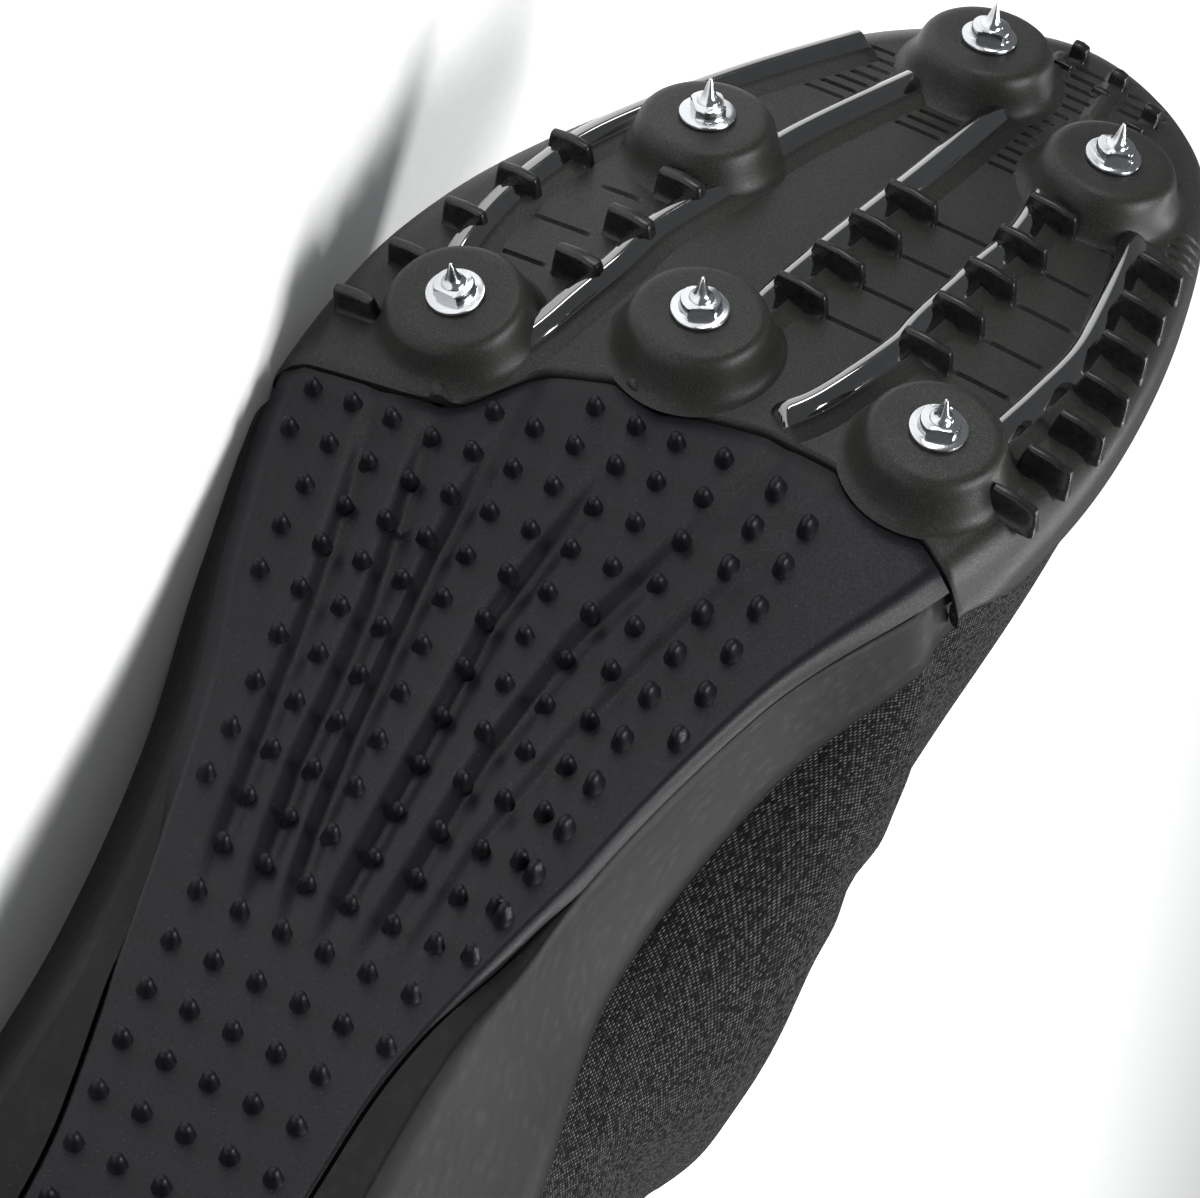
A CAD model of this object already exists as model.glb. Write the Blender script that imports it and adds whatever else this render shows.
"""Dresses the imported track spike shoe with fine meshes, finishes, lights and a camera.

Meshes are drawn in the shoe's own frame: x runs from heel to toe, y towards the medial
side and z up from the ground line. They are then laid on the shoe's lateral side.
"""

import logging
import math
from collections import namedtuple
from dataclasses import dataclass, fields
from enum import Enum

import bmesh
import bpy
import numpy as np
from mathutils import Matrix, Vector


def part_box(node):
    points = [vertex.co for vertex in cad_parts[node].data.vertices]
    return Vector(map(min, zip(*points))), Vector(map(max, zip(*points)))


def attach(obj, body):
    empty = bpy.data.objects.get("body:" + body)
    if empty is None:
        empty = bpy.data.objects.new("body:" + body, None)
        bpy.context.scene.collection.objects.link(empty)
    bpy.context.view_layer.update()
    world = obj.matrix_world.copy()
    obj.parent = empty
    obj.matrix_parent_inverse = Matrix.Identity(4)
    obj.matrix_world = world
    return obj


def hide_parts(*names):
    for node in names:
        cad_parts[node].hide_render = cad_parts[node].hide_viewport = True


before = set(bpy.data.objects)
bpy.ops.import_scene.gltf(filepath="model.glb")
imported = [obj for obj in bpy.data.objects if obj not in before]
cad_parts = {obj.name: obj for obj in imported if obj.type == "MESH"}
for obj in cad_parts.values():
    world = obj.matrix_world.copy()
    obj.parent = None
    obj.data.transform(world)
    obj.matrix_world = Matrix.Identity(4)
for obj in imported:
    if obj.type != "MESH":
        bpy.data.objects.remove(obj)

LOG = logging.getLogger("shoe")
Number = float | np.ndarray
MM = 0.001
UP = np.array((0.0, 0.0, 1.0))
JOIN_DISTANCE = 2e-6

# Sole outline, heel back first, then the lateral side, the toe and the medial side
SoleRow = namedtuple("SoleRow", "along across flare rise scoop inset")
SOLE_ROWS = np.array((
    (0.035, 0.020, 0.30, 0.72, 0.30, 0.080),
    (0.060, -0.163, 0.30, 0.78, 0.30, 0.090),
    (0.162, -0.204, 0.40, 0.87, 0.35, 0.080),
    (0.282, -0.240, 0.40, 0.83, 0.35, 0.015),
    (0.398, -0.337, 0.31, 0.68, 0.30, 0.000),
    (0.493, -0.449, 0.21, 0.56, 0.20, 0.000),
    (0.592, -0.526, 0.16, 0.44, 0.10, 0.000),
    (0.722, -0.487, 0.11, 0.34, 0.00, 0.000),
    (0.863, -0.311, 0.11, 0.33, 0.00, 0.000),
    (0.945, -0.148, 0.14, 0.33, 0.00, 0.000),
    (0.988, 0.061, 0.12, 0.35, 0.00, 0.000),
    (0.947, 0.270, 0.14, 0.33, 0.00, 0.000),
    (0.847, 0.398, 0.07, 0.30, 0.00, 0.000),
    (0.722, 0.444, 0.07, 0.30, 0.00, 0.000),
    (0.620, 0.378, 0.13, 0.46, 0.20, 0.000),
    (0.518, 0.265, 0.09, 0.70, 0.60, 0.000),
    (0.398, 0.209, 0.19, 0.82, 0.80, 0.000),
    (0.264, 0.224, 0.46, 0.90, 0.60, 0.050),
    (0.155, 0.245, 0.41, 0.92, 0.40, 0.065),
    (0.056, 0.194, 0.30, 0.80, 0.30, 0.070),
))

# Edge of the collar and throat, with the handles of each section's curve
OpeningRow = namedtuple("OpeningRow", "along across up lift bulge reach spread drop")
OPENING_ROWS = np.array((
    (0.028, 0.010, 0.928, 0.24, 0.04, 0.00, 0.05, 0.19),
    (0.060, -0.153, 0.892, 0.24, 0.04, 0.00, 0.06, 0.19),
    (0.148, -0.265, 0.759, 0.18, 0.04, 0.00, 0.05, 0.14),
    (0.254, -0.286, 0.735, 0.18, 0.05, 0.00, 0.06, 0.14),
    (0.342, -0.245, 0.867, 0.22, 0.06, 0.20, 0.10, 0.16),
    (0.398, -0.173, 0.988, 0.26, 0.05, 0.30, 0.14, 0.12),
    (0.468, -0.133, 0.904, 0.28, 0.03, 0.42, 0.04, 0.11),
    (0.546, -0.112, 0.783, 0.26, 0.02, 0.50, 0.00, 0.10),
    (0.616, -0.092, 0.687, 0.22, 0.02, 0.50, 0.00, 0.10),
    (0.658, -0.056, 0.633, 0.19, 0.02, 0.50, 0.00, 0.10),
    (0.669, 0.010, 0.614, 0.18, 0.02, 0.50, 0.00, 0.10),
    (0.658, 0.071, 0.633, 0.19, 0.02, 0.50, 0.00, 0.10),
    (0.616, 0.112, 0.687, 0.22, 0.00, 0.50, 0.00, 0.10),
    (0.546, 0.133, 0.795, 0.28, 0.01, 0.50, 0.00, 0.09),
    (0.468, 0.153, 0.916, 0.28, 0.08, 0.40, 0.08, 0.11),
    (0.398, 0.194, 1.000, 0.15, 0.32, 0.25, 0.20, 0.14),
    (0.342, 0.255, 0.880, 0.12, 0.27, 0.10, 0.11, 0.18),
    (0.254, 0.296, 0.747, 0.17, 0.03, 0.00, 0.03, 0.13),
    (0.148, 0.286, 0.771, 0.18, 0.06, 0.00, 0.06, 0.14),
    (0.060, 0.173, 0.892, 0.24, 0.04, 0.00, 0.06, 0.19),
))
THROAT_TOP = 0.25
LIP_SHARE = 0.06

# Seam between the plate and the rubber pad: across and along
SEAM_ROWS = np.array((
    (-0.600, 0.580), (-0.480, 0.584), (-0.370, 0.587), (-0.290, 0.592),
    (-0.225, 0.624), (-0.130, 0.635), (-0.030, 0.634), (0.080, 0.642),
    (0.210, 0.641), (0.310, 0.634), (0.370, 0.620), (0.480, 0.610),
))

# Bosses: name, along, across and the turn of the wrench flats in degrees
BOSS_ROWS = (
    ("toe_lateral", 0.937, -0.020, 20),
    ("toe_medial", 0.891, 0.235, 35),
    ("middle_lateral", 0.799, -0.255, -50),
    ("rear_lateral", 0.630, -0.367, -5),
    ("rear_middle", 0.673, -0.071, 30),
    ("rear_medial", 0.669, 0.286, 25),
)


def mix(first: Number, second: Number, share: Number) -> Number:
    """Value at that share of the way from the first to the second."""
    return first + (second - first) * share


def soft_step(low: Number, high: Number, value: Number) -> np.ndarray:
    """0 below low, 1 above high and a soft step between them."""
    share = np.clip((value - low) / (high - low), 0.0, 1.0)
    return share * share * (3 - 2 * share)


def unit(vectors: np.ndarray) -> np.ndarray:
    """The vectors at length 1."""
    return vectors / np.maximum(np.linalg.norm(vectors, axis=-1, keepdims=True), 1e-12)


def between(rows: tuple, t: Number) -> np.ndarray:
    """Smooth way from the second of four neighbouring rows to the third.

    Args:
        rows: the four rows, in their order.
        t: 0 at the second row and 1 at the third.

    Returns:
        The values on that way.
    """
    before, here, after, beyond = rows
    return 0.5 * (
        2 * here
        + (after - before) * t
        + (2 * before - 5 * here + 4 * after - beyond) * t**2
        + (3 * here - before - 3 * after + beyond) * t**3
    )


def closed_curve(table: np.ndarray, around: Number) -> np.ndarray:
    """Smooth closed curve through the rows of a table.

    Args:
        table: one row for each equal step round the shoe.
        around: places from 0 to 1 round the shoe.

    Returns:
        The columns at those places, along the last axis.
    """
    count = len(table)
    place = np.mod(np.asarray(around, float), 1.0) * count
    first = np.floor(place).astype(int)
    t = (place - first)[..., None]
    return between(tuple(table[(first + k) % count] for k in (-1, 0, 1, 2)), t)


def catmull(points: np.ndarray, steps: int) -> np.ndarray:
    """Smooth open curve through the points.

    Args:
        points: rows of coordinates.
        steps: number of steps between two of them.

    Returns:
        The points of the curve, row by row.
    """
    spread = np.vstack((2 * points[0] - points[1], points, 2 * points[-1] - points[-2]))
    t = (np.arange(steps) / steps)[:, None]
    neighbours = zip(spread, spread[1:], spread[2:], spread[3:])
    return np.vstack([between(rows, t) for rows in neighbours] + [points[-1:]])


@dataclass(frozen=True)
class ShoeSizes:
    """Named sizes of the shoe in metres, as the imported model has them."""

    length: float = 284 * MM
    ball_width: float = 98 * MM
    upper_height: float = 83 * MM
    side_wall: float = 27 * MM
    toe_spring: float = 18 * MM
    heel_lift: float = 9 * MM
    arch_rise: float = 6 * MM
    camber: float = 3.6 * MM
    upper_wall: float = 1.8 * MM
    layer: float = 2.5 * MM
    rim_wall: float = 1.3 * MM
    lip_wall: float = 0.9 * MM
    lip_depth: float = 3.0 * MM
    lip_drop: float = 0.7 * MM
    rim_taper: float = 14 * MM
    rim_start: float = 0.55
    rim_gap: float = 0.6 * MM
    layer_gap: float = 0.5 * MM
    footbed_cup: float = 1.5 * MM
    clearance: float = 0.3 * MM
    soft_gap: float = 0.8 * MM
    boss_height: float = 6.0 * MM
    boss_base_radius: float = 11.4 * MM
    tongue_crown: float = 4.0 * MM
    toe_up: float = 11.0
    opening_up: float = -5.5
    flat_depth: float = 2.2 * MM
    stations: int = 52


class ShoeForm:
    """Curves and surfaces of the shoe in its own frame, and the way it lies."""

    def __init__(self, sizes: ShoeSizes) -> None:
        """Finds the smoothed seam and the turn and shift that lay the shoe down.

        Args:
            sizes: the named sizes of the shoe.
        """
        self.sizes = sizes
        self.seam_y = np.linspace(-60, 60, 481) * MM
        raw = self._raw_seam(self.seam_y)
        reach = np.arange(-12, 13)
        weights = np.exp(-(reach / 4.0) ** 2)
        padded = np.pad(raw, 12, mode="edge")
        self.seam_x = np.convolve(padded, weights / weights.sum(), mode="valid")
        self.turn, self.shift = self._laying()

    def _raw_seam(self, y: np.ndarray) -> np.ndarray:
        """Seam that runs straight between its rows and round the rear bosses.

        Args:
            y: places across.

        Returns:
            The seam's places along.
        """
        s = self.sizes
        x = np.interp(y / s.ball_width, SEAM_ROWS[:, 0], SEAM_ROWS[:, 1]) * s.length
        reach = s.boss_base_radius + 2 * s.clearance
        for _, along, across, _ in BOSS_ROWS[3:]:
            aside = np.minimum(np.abs(y - across * s.ball_width), reach)
            front = along * s.length - np.sqrt(reach**2 - aside**2)
            x = np.where(aside < reach, np.minimum(x, front), x)
        return x

    def _laying(self) -> tuple:
        """Turn and shift from the shoe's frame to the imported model's.

        Returns:
            A 3 by 3 matrix, and a shift that sets the upper into its node's box.
        """
        s = self.sizes
        toe, opening = math.radians(s.toe_up), math.radians(s.opening_up)
        up = np.array((
            math.sin(toe) * math.cos(opening),
            math.cos(toe) * math.cos(opening),
            math.sin(opening),
        ))
        ahead = unit(np.array((1.0, 0, 0)) - up * up[0])
        turn = np.array((-ahead, np.cross(up, -ahead), up))
        around = (np.arange(s.stations) / s.stations)[:, None]
        shares = np.array([0.0] + [mix(LIP_SHARE, 1.0, k / 6) for k in range(7)])
        places = self.upper(around, shares[None]).reshape(-1, 3) @ turn.T
        low = np.array(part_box("upper")[0])
        shift = low - places.min(axis=0)
        sides = self.wall(around, np.array([[0.4, 0.7, 1.0]])).reshape(-1, 3)
        rows = self.upper(around, np.array([[0.2, 0.4, 0.6, 0.8, 1.0]])).reshape(-1, 3)
        lowest = (np.vstack((sides, rows)) @ up).min()
        shift[2] = -(lowest + s.flat_depth)
        return turn, shift

    def world(self, points: np.ndarray, floor: float = 0.15 * MM) -> np.ndarray:
        """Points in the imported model's frame, pressed flat where they meet the floor.

        Args:
            points: places in the shoe's own frame.
            floor: lowest height that a point may have.

        Returns:
            The placed points.
        """
        placed = points @ self.turn.T + self.shift
        placed[..., 2] = np.maximum(placed[..., 2], floor)
        return placed

    def above(self, points: np.ndarray, level: float) -> np.ndarray:
        """Lifts the points that lie too low once the shoe lies on the floor.

        Args:
            points: places in the shoe's own frame.
            level: lowest height over the floor that a point may have.

        Returns:
            The points, lifted where they had to be.
        """
        height = points @ self.turn[2] + self.shift[2]
        return points + self.turn[2] * np.maximum(0.0, level - height)[..., None]

    def sole(self, around: Number) -> SoleRow:
        """Columns of the sole's table at those places."""
        return SoleRow(*np.moveaxis(closed_curve(SOLE_ROWS, around), -1, 0))

    def opening(self, around: Number) -> OpeningRow:
        """Columns of the opening's table at those places."""
        return OpeningRow(*np.moveaxis(closed_curve(OPENING_ROWS, around), -1, 0))

    def bottom(self, x: Number, y: Number) -> np.ndarray:
        """Height of the sole's underside: bevelled heel, arch, toe spring and camber.

        Args:
            x: places along.
            y: places across.

        Returns:
            The heights.
        """
        s = self.sizes
        along = x / s.length
        heel = np.maximum(0.0, 1 - along / 0.16) ** 1.6
        arch = np.sin(np.pi * np.clip((along - 0.22) / 0.46, 0.0, 1.0)) ** 2
        toe = np.maximum(0.0, (along - 0.66) / 0.34) ** 1.35
        camber = soft_step(0.42, 0.64, along) * (2 * y / s.ball_width) ** 2
        return s.heel_lift * heel + s.arch_rise * arch + s.toe_spring * toe + s.camber * camber

    def bottom_normal(self, x: Number, y: Number) -> np.ndarray:
        """Unit vectors that point down and out of the underside.

        Args:
            x: places along.
            y: places across.

        Returns:
            The vectors, along a new last axis.
        """
        step = 1 * MM
        slope_x = (self.bottom(x + step, y) - self.bottom(x - step, y)) / (2 * step)
        slope_y = (self.bottom(x, y + step) - self.bottom(x, y - step)) / (2 * step)
        return unit(np.stack((slope_x, slope_y, -np.ones_like(slope_x)), -1))

    def on_bottom(self, x: Number, y: Number) -> np.ndarray:
        """Points on the underside."""
        x, y = np.broadcast_arrays(np.asarray(x, float), np.asarray(y, float))
        return np.stack((x, y, self.bottom(x, y)), -1)

    def edge(self, around: Number) -> np.ndarray:
        """Plan places of the sole's bottom edge."""
        row = self.sole(around)
        return np.stack((row.along * self.sizes.length, row.across * self.sizes.ball_width), -1)

    def out(self, around: Number) -> np.ndarray:
        """Plan directions that point out of the sole's edge.

        Args:
            around: places round the shoe.

        Returns:
            Unit vectors of two numbers each.
        """
        step = 0.25 / self.sizes.stations
        around = np.asarray(around, float)
        ahead = self.edge(around + step) - self.edge(around - step)
        return unit(np.stack((ahead[..., 1], -ahead[..., 0]), -1))

    def out3(self, around: Number) -> np.ndarray:
        """The same directions with a height of 0."""
        out = self.out(around)
        return np.concatenate((out, np.zeros_like(out[..., :1])), -1)

    def seam(self, y: Number) -> np.ndarray:
        """Place along the shoe of the plate's rear edge."""
        return np.interp(y, self.seam_y, self.seam_x)

    def seam_ends(self, gap: float) -> tuple:
        """Finds where the line at a gap from the seam meets the sole's edges.

        Args:
            gap: metres ahead of the seam.

        Returns:
            The lateral and the medial place round the shoe.
        """
        ends = []
        for behind, ahead in ((0.2, 0.42), (0.8, 0.58)):
            around = np.linspace(behind, ahead, 4000)
            edge = self.edge(around)
            past = edge[:, 0] - self.seam(edge[:, 1]) - gap
            ends.append(float(around[np.argmax(past > 0)]))
        return tuple(ends)

    def plate_cover(self, around: Number) -> np.ndarray:
        """1 where the plate's turned-up rim covers the side wall, 0 behind the seam."""
        edge = self.edge(around)
        return soft_step(-6 * MM, -1 * MM, edge[..., 0] - self.seam(edge[..., 1]))

    def band_start(self, around: Number) -> np.ndarray:
        """Share of the side wall's height at which its upright band starts."""
        s = self.sizes
        return 1 - (s.lip_depth + 2 * s.clearance) / (self.sole(around).rise * s.side_wall)

    def wall(self, around: Number, height: Number, inset: Number = 0.0) -> np.ndarray:
        """Points on the side wall of the sole.

        Args:
            around: places round the shoe.
            height: 0 at the bottom edge and 1 at the top border.
            inset: metres inside the wall's face.

        Returns:
            The points, one for each of the joined arguments.
        """
        s = self.sizes
        row = self.sole(around)
        edge, out = self.edge(around), self.out(around)
        bend = np.minimum(height / self.band_start(around), 1.0)
        bulge = mix(1 - (1 - bend) ** 2, bend * bend, row.scoop)
        reach = row.flare * s.side_wall * bulge - inset
        level = self.bottom(edge[..., 0], edge[..., 1]) + row.rise * s.side_wall * height
        x = edge[..., 0] + out[..., 0] * reach
        y = edge[..., 1] + out[..., 1] * reach
        return np.stack(np.broadcast_arrays(x, y, level), -1)

    def lip_inset(self, around: Number) -> np.ndarray:
        """How far the upper's outer face stands inside the sole's top border."""
        s = self.sizes
        return s.lip_wall + s.clearance + self.plate_cover(around) * (s.rim_wall + s.rim_gap)

    def upper(self, around: Number, share: Number) -> np.ndarray:
        """Points on the outer face of the upper.

        Args:
            around: places round the shoe.
            share: 0 in the lip of the sole, LIP_SHARE at its border and 1 at the opening.

        Returns:
            The points, one for each of the joined arguments.
        """
        s = self.sizes
        around, share = np.broadcast_arrays(np.asarray(around, float), share)
        rim = self.wall(around, 1.0, self.lip_inset(around))
        row = self.opening(around)
        end = np.stack(
            (row.along * s.length, row.across * s.ball_width, row.up * s.upper_height), -1
        )
        out = self.out3(around)
        back = (rim - end) * np.array((1.0, 1.0, 0.0)) * row.reach[..., None]
        lift = UP * (row.lift * s.upper_height)[..., None]
        drop = UP * (row.drop * s.upper_height)[..., None]
        first = rim + lift + out * (row.bulge * s.upper_height)[..., None]
        last = end + back + out * (row.spread * s.upper_height)[..., None] - drop
        t = np.clip((share - LIP_SHARE) / (1 - LIP_SHARE), 0.0, 1.0)[..., None]
        rest = 1 - t
        body = rim * rest**3 + first * 3 * rest**2 * t + last * 3 * rest * t**2 + end * t**3
        lip = rim - UP * (s.lip_depth * (1 - share / LIP_SHARE))[..., None]
        return np.where((share < LIP_SHARE)[..., None], lip, body)

    def upper_normal(self, around: Number, share: Number) -> np.ndarray:
        """Unit vectors that point out of the upper.

        Args:
            around: places round the shoe.
            share: as for upper.

        Returns:
            The vectors.
        """
        around, share = np.broadcast_arrays(np.asarray(around, float), share)
        along = self.upper(around + 0.002, share) - self.upper(around - 0.002, share)
        high, low = np.minimum(share + 0.02, 1.0), np.maximum(share - 0.02, 0.0)
        return unit(np.cross(along, self.upper(around, high) - self.upper(around, low)))

    def on_upper(self, around: Number, share: Number, proud: Number) -> np.ndarray:
        """Points that stand proud metres out of the upper."""
        lift = self.upper_normal(around, share) * np.asarray(proud)[..., None]
        return self.upper(around, share) + lift

    def throat(self, around: Number, across: Number, sink: Number) -> np.ndarray:
        """Points on the crowned lines over the throat.

        Args:
            around: places down the lateral edge of the throat.
            across: -1 at the lateral edge and 1 at the medial one, or beyond them.
            sink: metres under the surface.

        Returns:
            The points, which run on over the upper beyond the edges.
        """
        s = self.sizes
        around, across, sink = np.broadcast_arrays(
            np.asarray(around, float), np.asarray(across, float), np.asarray(sink, float)
        )
        side = np.where(across < 0, around, 1 - around)
        over = np.maximum(np.abs(across) - 1, 0.0)
        beyond = self.on_upper(side, 1 - over, -sink)
        left = self.on_upper(around, 1.0 + 0 * around, -sink)
        right = self.on_upper(1 - around, 1.0 + 0 * around, -sink)
        width = np.linalg.norm(right - left, axis=-1)
        crown = s.tongue_crown * np.minimum(1.0, width / (0.25 * s.ball_width))
        raised = (crown * (1 - np.minimum(across**2, 1.0)))[..., None]
        between = mix(left, right, ((across + 1) / 2)[..., None])
        between = between + np.array((0.3, 0, 0.95)) * raised
        return np.where((over > 0)[..., None], beyond, between)

    def seat(self, along: float, across: float, turn: float = 0.0) -> tuple:
        """Origin and axes of a boss whose flat top lies over the given shares.

        Args:
            along: share of the length.
            across: share of the ball width.
            turn: degrees about the boss's axis.

        Returns:
            The origin, and a 3 by 3 matrix whose columns are the axes.
        """
        s = self.sizes
        x, y = along * s.length, across * s.ball_width
        lean = self.bottom_normal(x, y) * s.boss_height
        return self.stand(x - lean[0], y - lean[1], turn)

    def stand(self, x: float, y: float, turn: float = 0.0) -> tuple:
        """Frame that stands out of the underside.

        Args:
            x: place along.
            y: place across.
            turn: degrees about the frame's third axis.

        Returns:
            The origin, and a 3 by 3 matrix whose columns are the axes.
        """
        out = self.bottom_normal(x, y)
        ahead = unit(np.array((1.0, 0, 0)) - out * out[0])
        side = np.cross(out, ahead)
        c, d = math.cos(math.radians(turn)), math.sin(math.radians(turn))
        axes = np.stack((ahead * c + side * d, side * c - ahead * d, out), -1)
        return self.on_bottom(x, y), axes


class MeshMaker:
    """Gathers grids of points into one mesh with surface lengths and several finishes."""

    def __init__(self, form: ShoeForm) -> None:
        """Starts with no grid.

        Args:
            form: the shoe's curves and the way it lies.
        """
        self.form = form
        self.points: list = []
        self.quads: list = []
        self.lengths: list = []
        self.finishes: list = []
        self.count = 0

    def grid(
        self, points: np.ndarray, inside: tuple | np.ndarray | None = None,
        finish: int | np.ndarray = 0, ring: bool = False, loop: bool = False,
    ) -> None:
        """Adds quads over a grid of points, with lengths along it in millimetres.

        Args:
            points: the grid, rows by columns by 3.
            inside: a point that the faces turn away from, or None to keep their order.
            finish: number of the finish, one for all or one for each column of faces.
            ring: joins the last row to the first.
            loop: joins the last column to the first.
        """
        rows, columns = points.shape[:2]
        full = np.concatenate((points, points[:1]), 0) if ring else points
        full = np.concatenate((full, full[:, :1]), 1) if loop else full
        i, j = np.meshgrid(
            np.arange(full.shape[0] - 1), np.arange(full.shape[1] - 1), indexing="ij"
        )
        corners = ((i, j), (i + 1, j), (i + 1, j + 1), (i, j + 1))
        quads = np.stack([(a % rows) * columns + b % columns for a, b in corners], -1)
        middle = full[:, full.shape[1] // 2]
        steps = np.linalg.norm(np.diff(middle, axis=0), axis=-1)
        u = np.concatenate(([0.0], np.cumsum(steps)))[:, None] + 0 * full[..., 0]
        steps = np.linalg.norm(np.diff(full, axis=1), axis=-1)
        v = np.concatenate((np.zeros((len(full), 1)), np.cumsum(steps, axis=1)), 1)
        length = np.stack((u, v), -1) / MM
        lengths = np.stack([length[a, b] for a, b in corners], -2)
        if inside is not None:
            faces = points.reshape(-1, 3)[quads]
            first = faces[..., 2, :] - faces[..., 0, :]
            normals = np.cross(first, faces[..., 3, :] - faces[..., 1, :])
            away = faces.mean(axis=-2) - np.asarray(inside)
            if np.sum(normals * away) < 0:
                quads, lengths = quads[..., ::-1], lengths[..., ::-1, :]
        marks = np.broadcast_to(np.asarray(finish), quads.shape[:2])
        self.points.append(points.reshape(-1, 3))
        self.quads.append(quads.reshape(-1, 4) + self.count)
        self.lengths.append(lengths.reshape(-1, 4, 2))
        self.finishes.append(marks.reshape(-1))
        self.count += rows * columns

    def tube(
        self, path: np.ndarray, side: np.ndarray, wide: Number, thick: Number, **options
    ) -> None:
        """Adds an oval bar.

        Args:
            path: points along its middle.
            side: for each point, the direction of its thickness.
            wide: half of the width.
            thick: half of the thickness.
            options: as for a grid, with sides for the number of columns.
        """
        sides = options.pop("sides", 12)
        closed = options.get("ring", False)
        ahead = np.roll(path, -1, 0) - np.roll(path, 1, 0)
        if not closed:
            ahead[0], ahead[-1] = path[1] - path[0], path[-1] - path[-2]
        ahead = unit(ahead)
        side = unit(side - ahead * np.sum(side * ahead, -1, keepdims=True))
        cross = np.cross(ahead, side)
        turn = np.linspace(0, 2 * np.pi, sides, endpoint=False)[None, :, None]
        wide, thick = (np.asarray(v) * np.ones(len(path)) for v in (wide, thick))
        ring = np.cos(turn) * cross[:, None] * wide[:, None, None]
        ring = ring + np.sin(turn) * side[:, None] * thick[:, None, None]
        self.grid(path[:, None] + ring, loop=True, **options)

    def build(
        self, name: str, materials: list, sharp: float | None = 45.0
    ) -> bpy.types.Object:
        """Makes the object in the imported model's frame.

        Args:
            name: the piece's name.
            materials: its finishes, in the order of their numbers.
            sharp: angle in degrees above which an edge is crisp, or None for none.

        Returns:
            The new object.
        """
        points = self.form.world(np.concatenate(self.points))
        quads = np.concatenate(self.quads)
        mesh = bpy.data.meshes.new(name)
        mesh.vertices.add(len(points))
        mesh.vertices.foreach_set("co", points.astype(np.float32).ravel())
        mesh.loops.add(quads.size)
        mesh.loops.foreach_set("vertex_index", quads.astype(np.int32).ravel())
        mesh.polygons.add(len(quads))
        mesh.polygons.foreach_set("loop_start", np.arange(0, quads.size, 4, dtype=np.int32))
        layer = mesh.uv_layers.new(name="surface")
        layer.data.foreach_set("uv", np.concatenate(self.lengths).astype(np.float32).ravel())
        marks = np.concatenate(self.finishes).astype(np.int32)
        mesh.polygons.foreach_set("material_index", marks)
        mesh.update(calc_edges=True)
        maker = bmesh.new()
        maker.from_mesh(mesh)
        bmesh.ops.remove_doubles(maker, verts=maker.verts, dist=JOIN_DISTANCE)
        maker.to_mesh(mesh)
        maker.free()
        mesh.shade_smooth()
        if sharp:
            mesh.set_sharp_from_angle(angle=math.radians(sharp))
        for material in materials:
            mesh.materials.append(material)
        item = bpy.data.objects.new(name, mesh)
        bpy.context.scene.collection.objects.link(item)
        return item


def settle(item: bpy.types.Object, slot: str, *nodes: str) -> None:
    """Lets a piece ride on the shoe, take its slot and stand for its nodes.

    Args:
        item: the piece.
        slot: its material slot.
        nodes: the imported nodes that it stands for.
    """
    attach(item, "root")
    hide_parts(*nodes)
    LOG.info("%s: %d faces for %s", item.name, len(item.data.polygons), ", ".join(nodes))


Feed = bpy.types.NodeSocket | float | tuple
Material = bpy.types.Material


class Nodes:
    """Short way to add and join the nodes of one tree."""

    def __init__(self, tree: bpy.types.NodeTree) -> None:
        """Keeps the tree."""
        self.tree = tree

    def add(self, kind: str, inputs: dict | None = None, **settings) -> bpy.types.Node:
        """Adds a node.

        Args:
            kind: its type.
            inputs: values or outputs for its inputs, by name or number.
            settings: its other properties.

        Returns:
            The new node.
        """
        node = self.tree.nodes.new(kind)
        for key, value in settings.items():
            setattr(node, key, value)
        for key, value in (inputs or {}).items():
            self.feed(node.inputs[key], value)
        return node

    def feed(self, socket: bpy.types.NodeSocket, value: Feed) -> None:
        """Joins a socket to an output, or gives it a value.

        Args:
            socket: the input to feed.
            value: an output or a plain value.
        """
        if isinstance(value, bpy.types.NodeSocket):
            self.tree.links.new(value, socket)
        else:
            socket.default_value = value

    def math(self, operation: str, *values: Feed) -> bpy.types.NodeSocket:
        """Output of a Math node."""
        node = self.add("ShaderNodeMath", dict(enumerate(values)), operation=operation)
        return node.outputs[0]

    def span(
        self, value: Feed, low: float, high: float, first: Feed, last: float
    ) -> bpy.types.NodeSocket:
        """Value moved from the range low to high onto the range first to last."""
        inputs = {"Value": value, 1: low, 2: high, 3: first, 4: last}
        return self.add("ShaderNodeMapRange", inputs, clamp=True).outputs[0]

    def blend(self, share: Feed, first: Feed, second: Feed) -> bpy.types.NodeSocket:
        """Output of a colour Mix node."""
        inputs = {0: share, 6: first, 7: second}
        return self.add("ShaderNodeMix", inputs, data_type="RGBA").outputs[2]

    def group(self, tree: bpy.types.NodeTree, inputs: dict) -> bpy.types.Node:
        """Places a node group.

        Args:
            tree: the group.
            inputs: values or outputs for its inputs, by name.

        Returns:
            The group's node.
        """
        node = self.tree.nodes.new("ShaderNodeGroup")
        node.node_tree = tree
        for key, value in inputs.items():
            self.feed(node.inputs[key], value)
        return node


class Effect(Enum):
    """Effects that several finishes share."""

    GRAIN = "surface_grain"
    WEAR = "handled_wear"
    KNIT = "knit_loops"
    BRAID = "braided_strands"
    STITCH = "stitch_row"
    SPECKLE = "fine_speckle"


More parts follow.
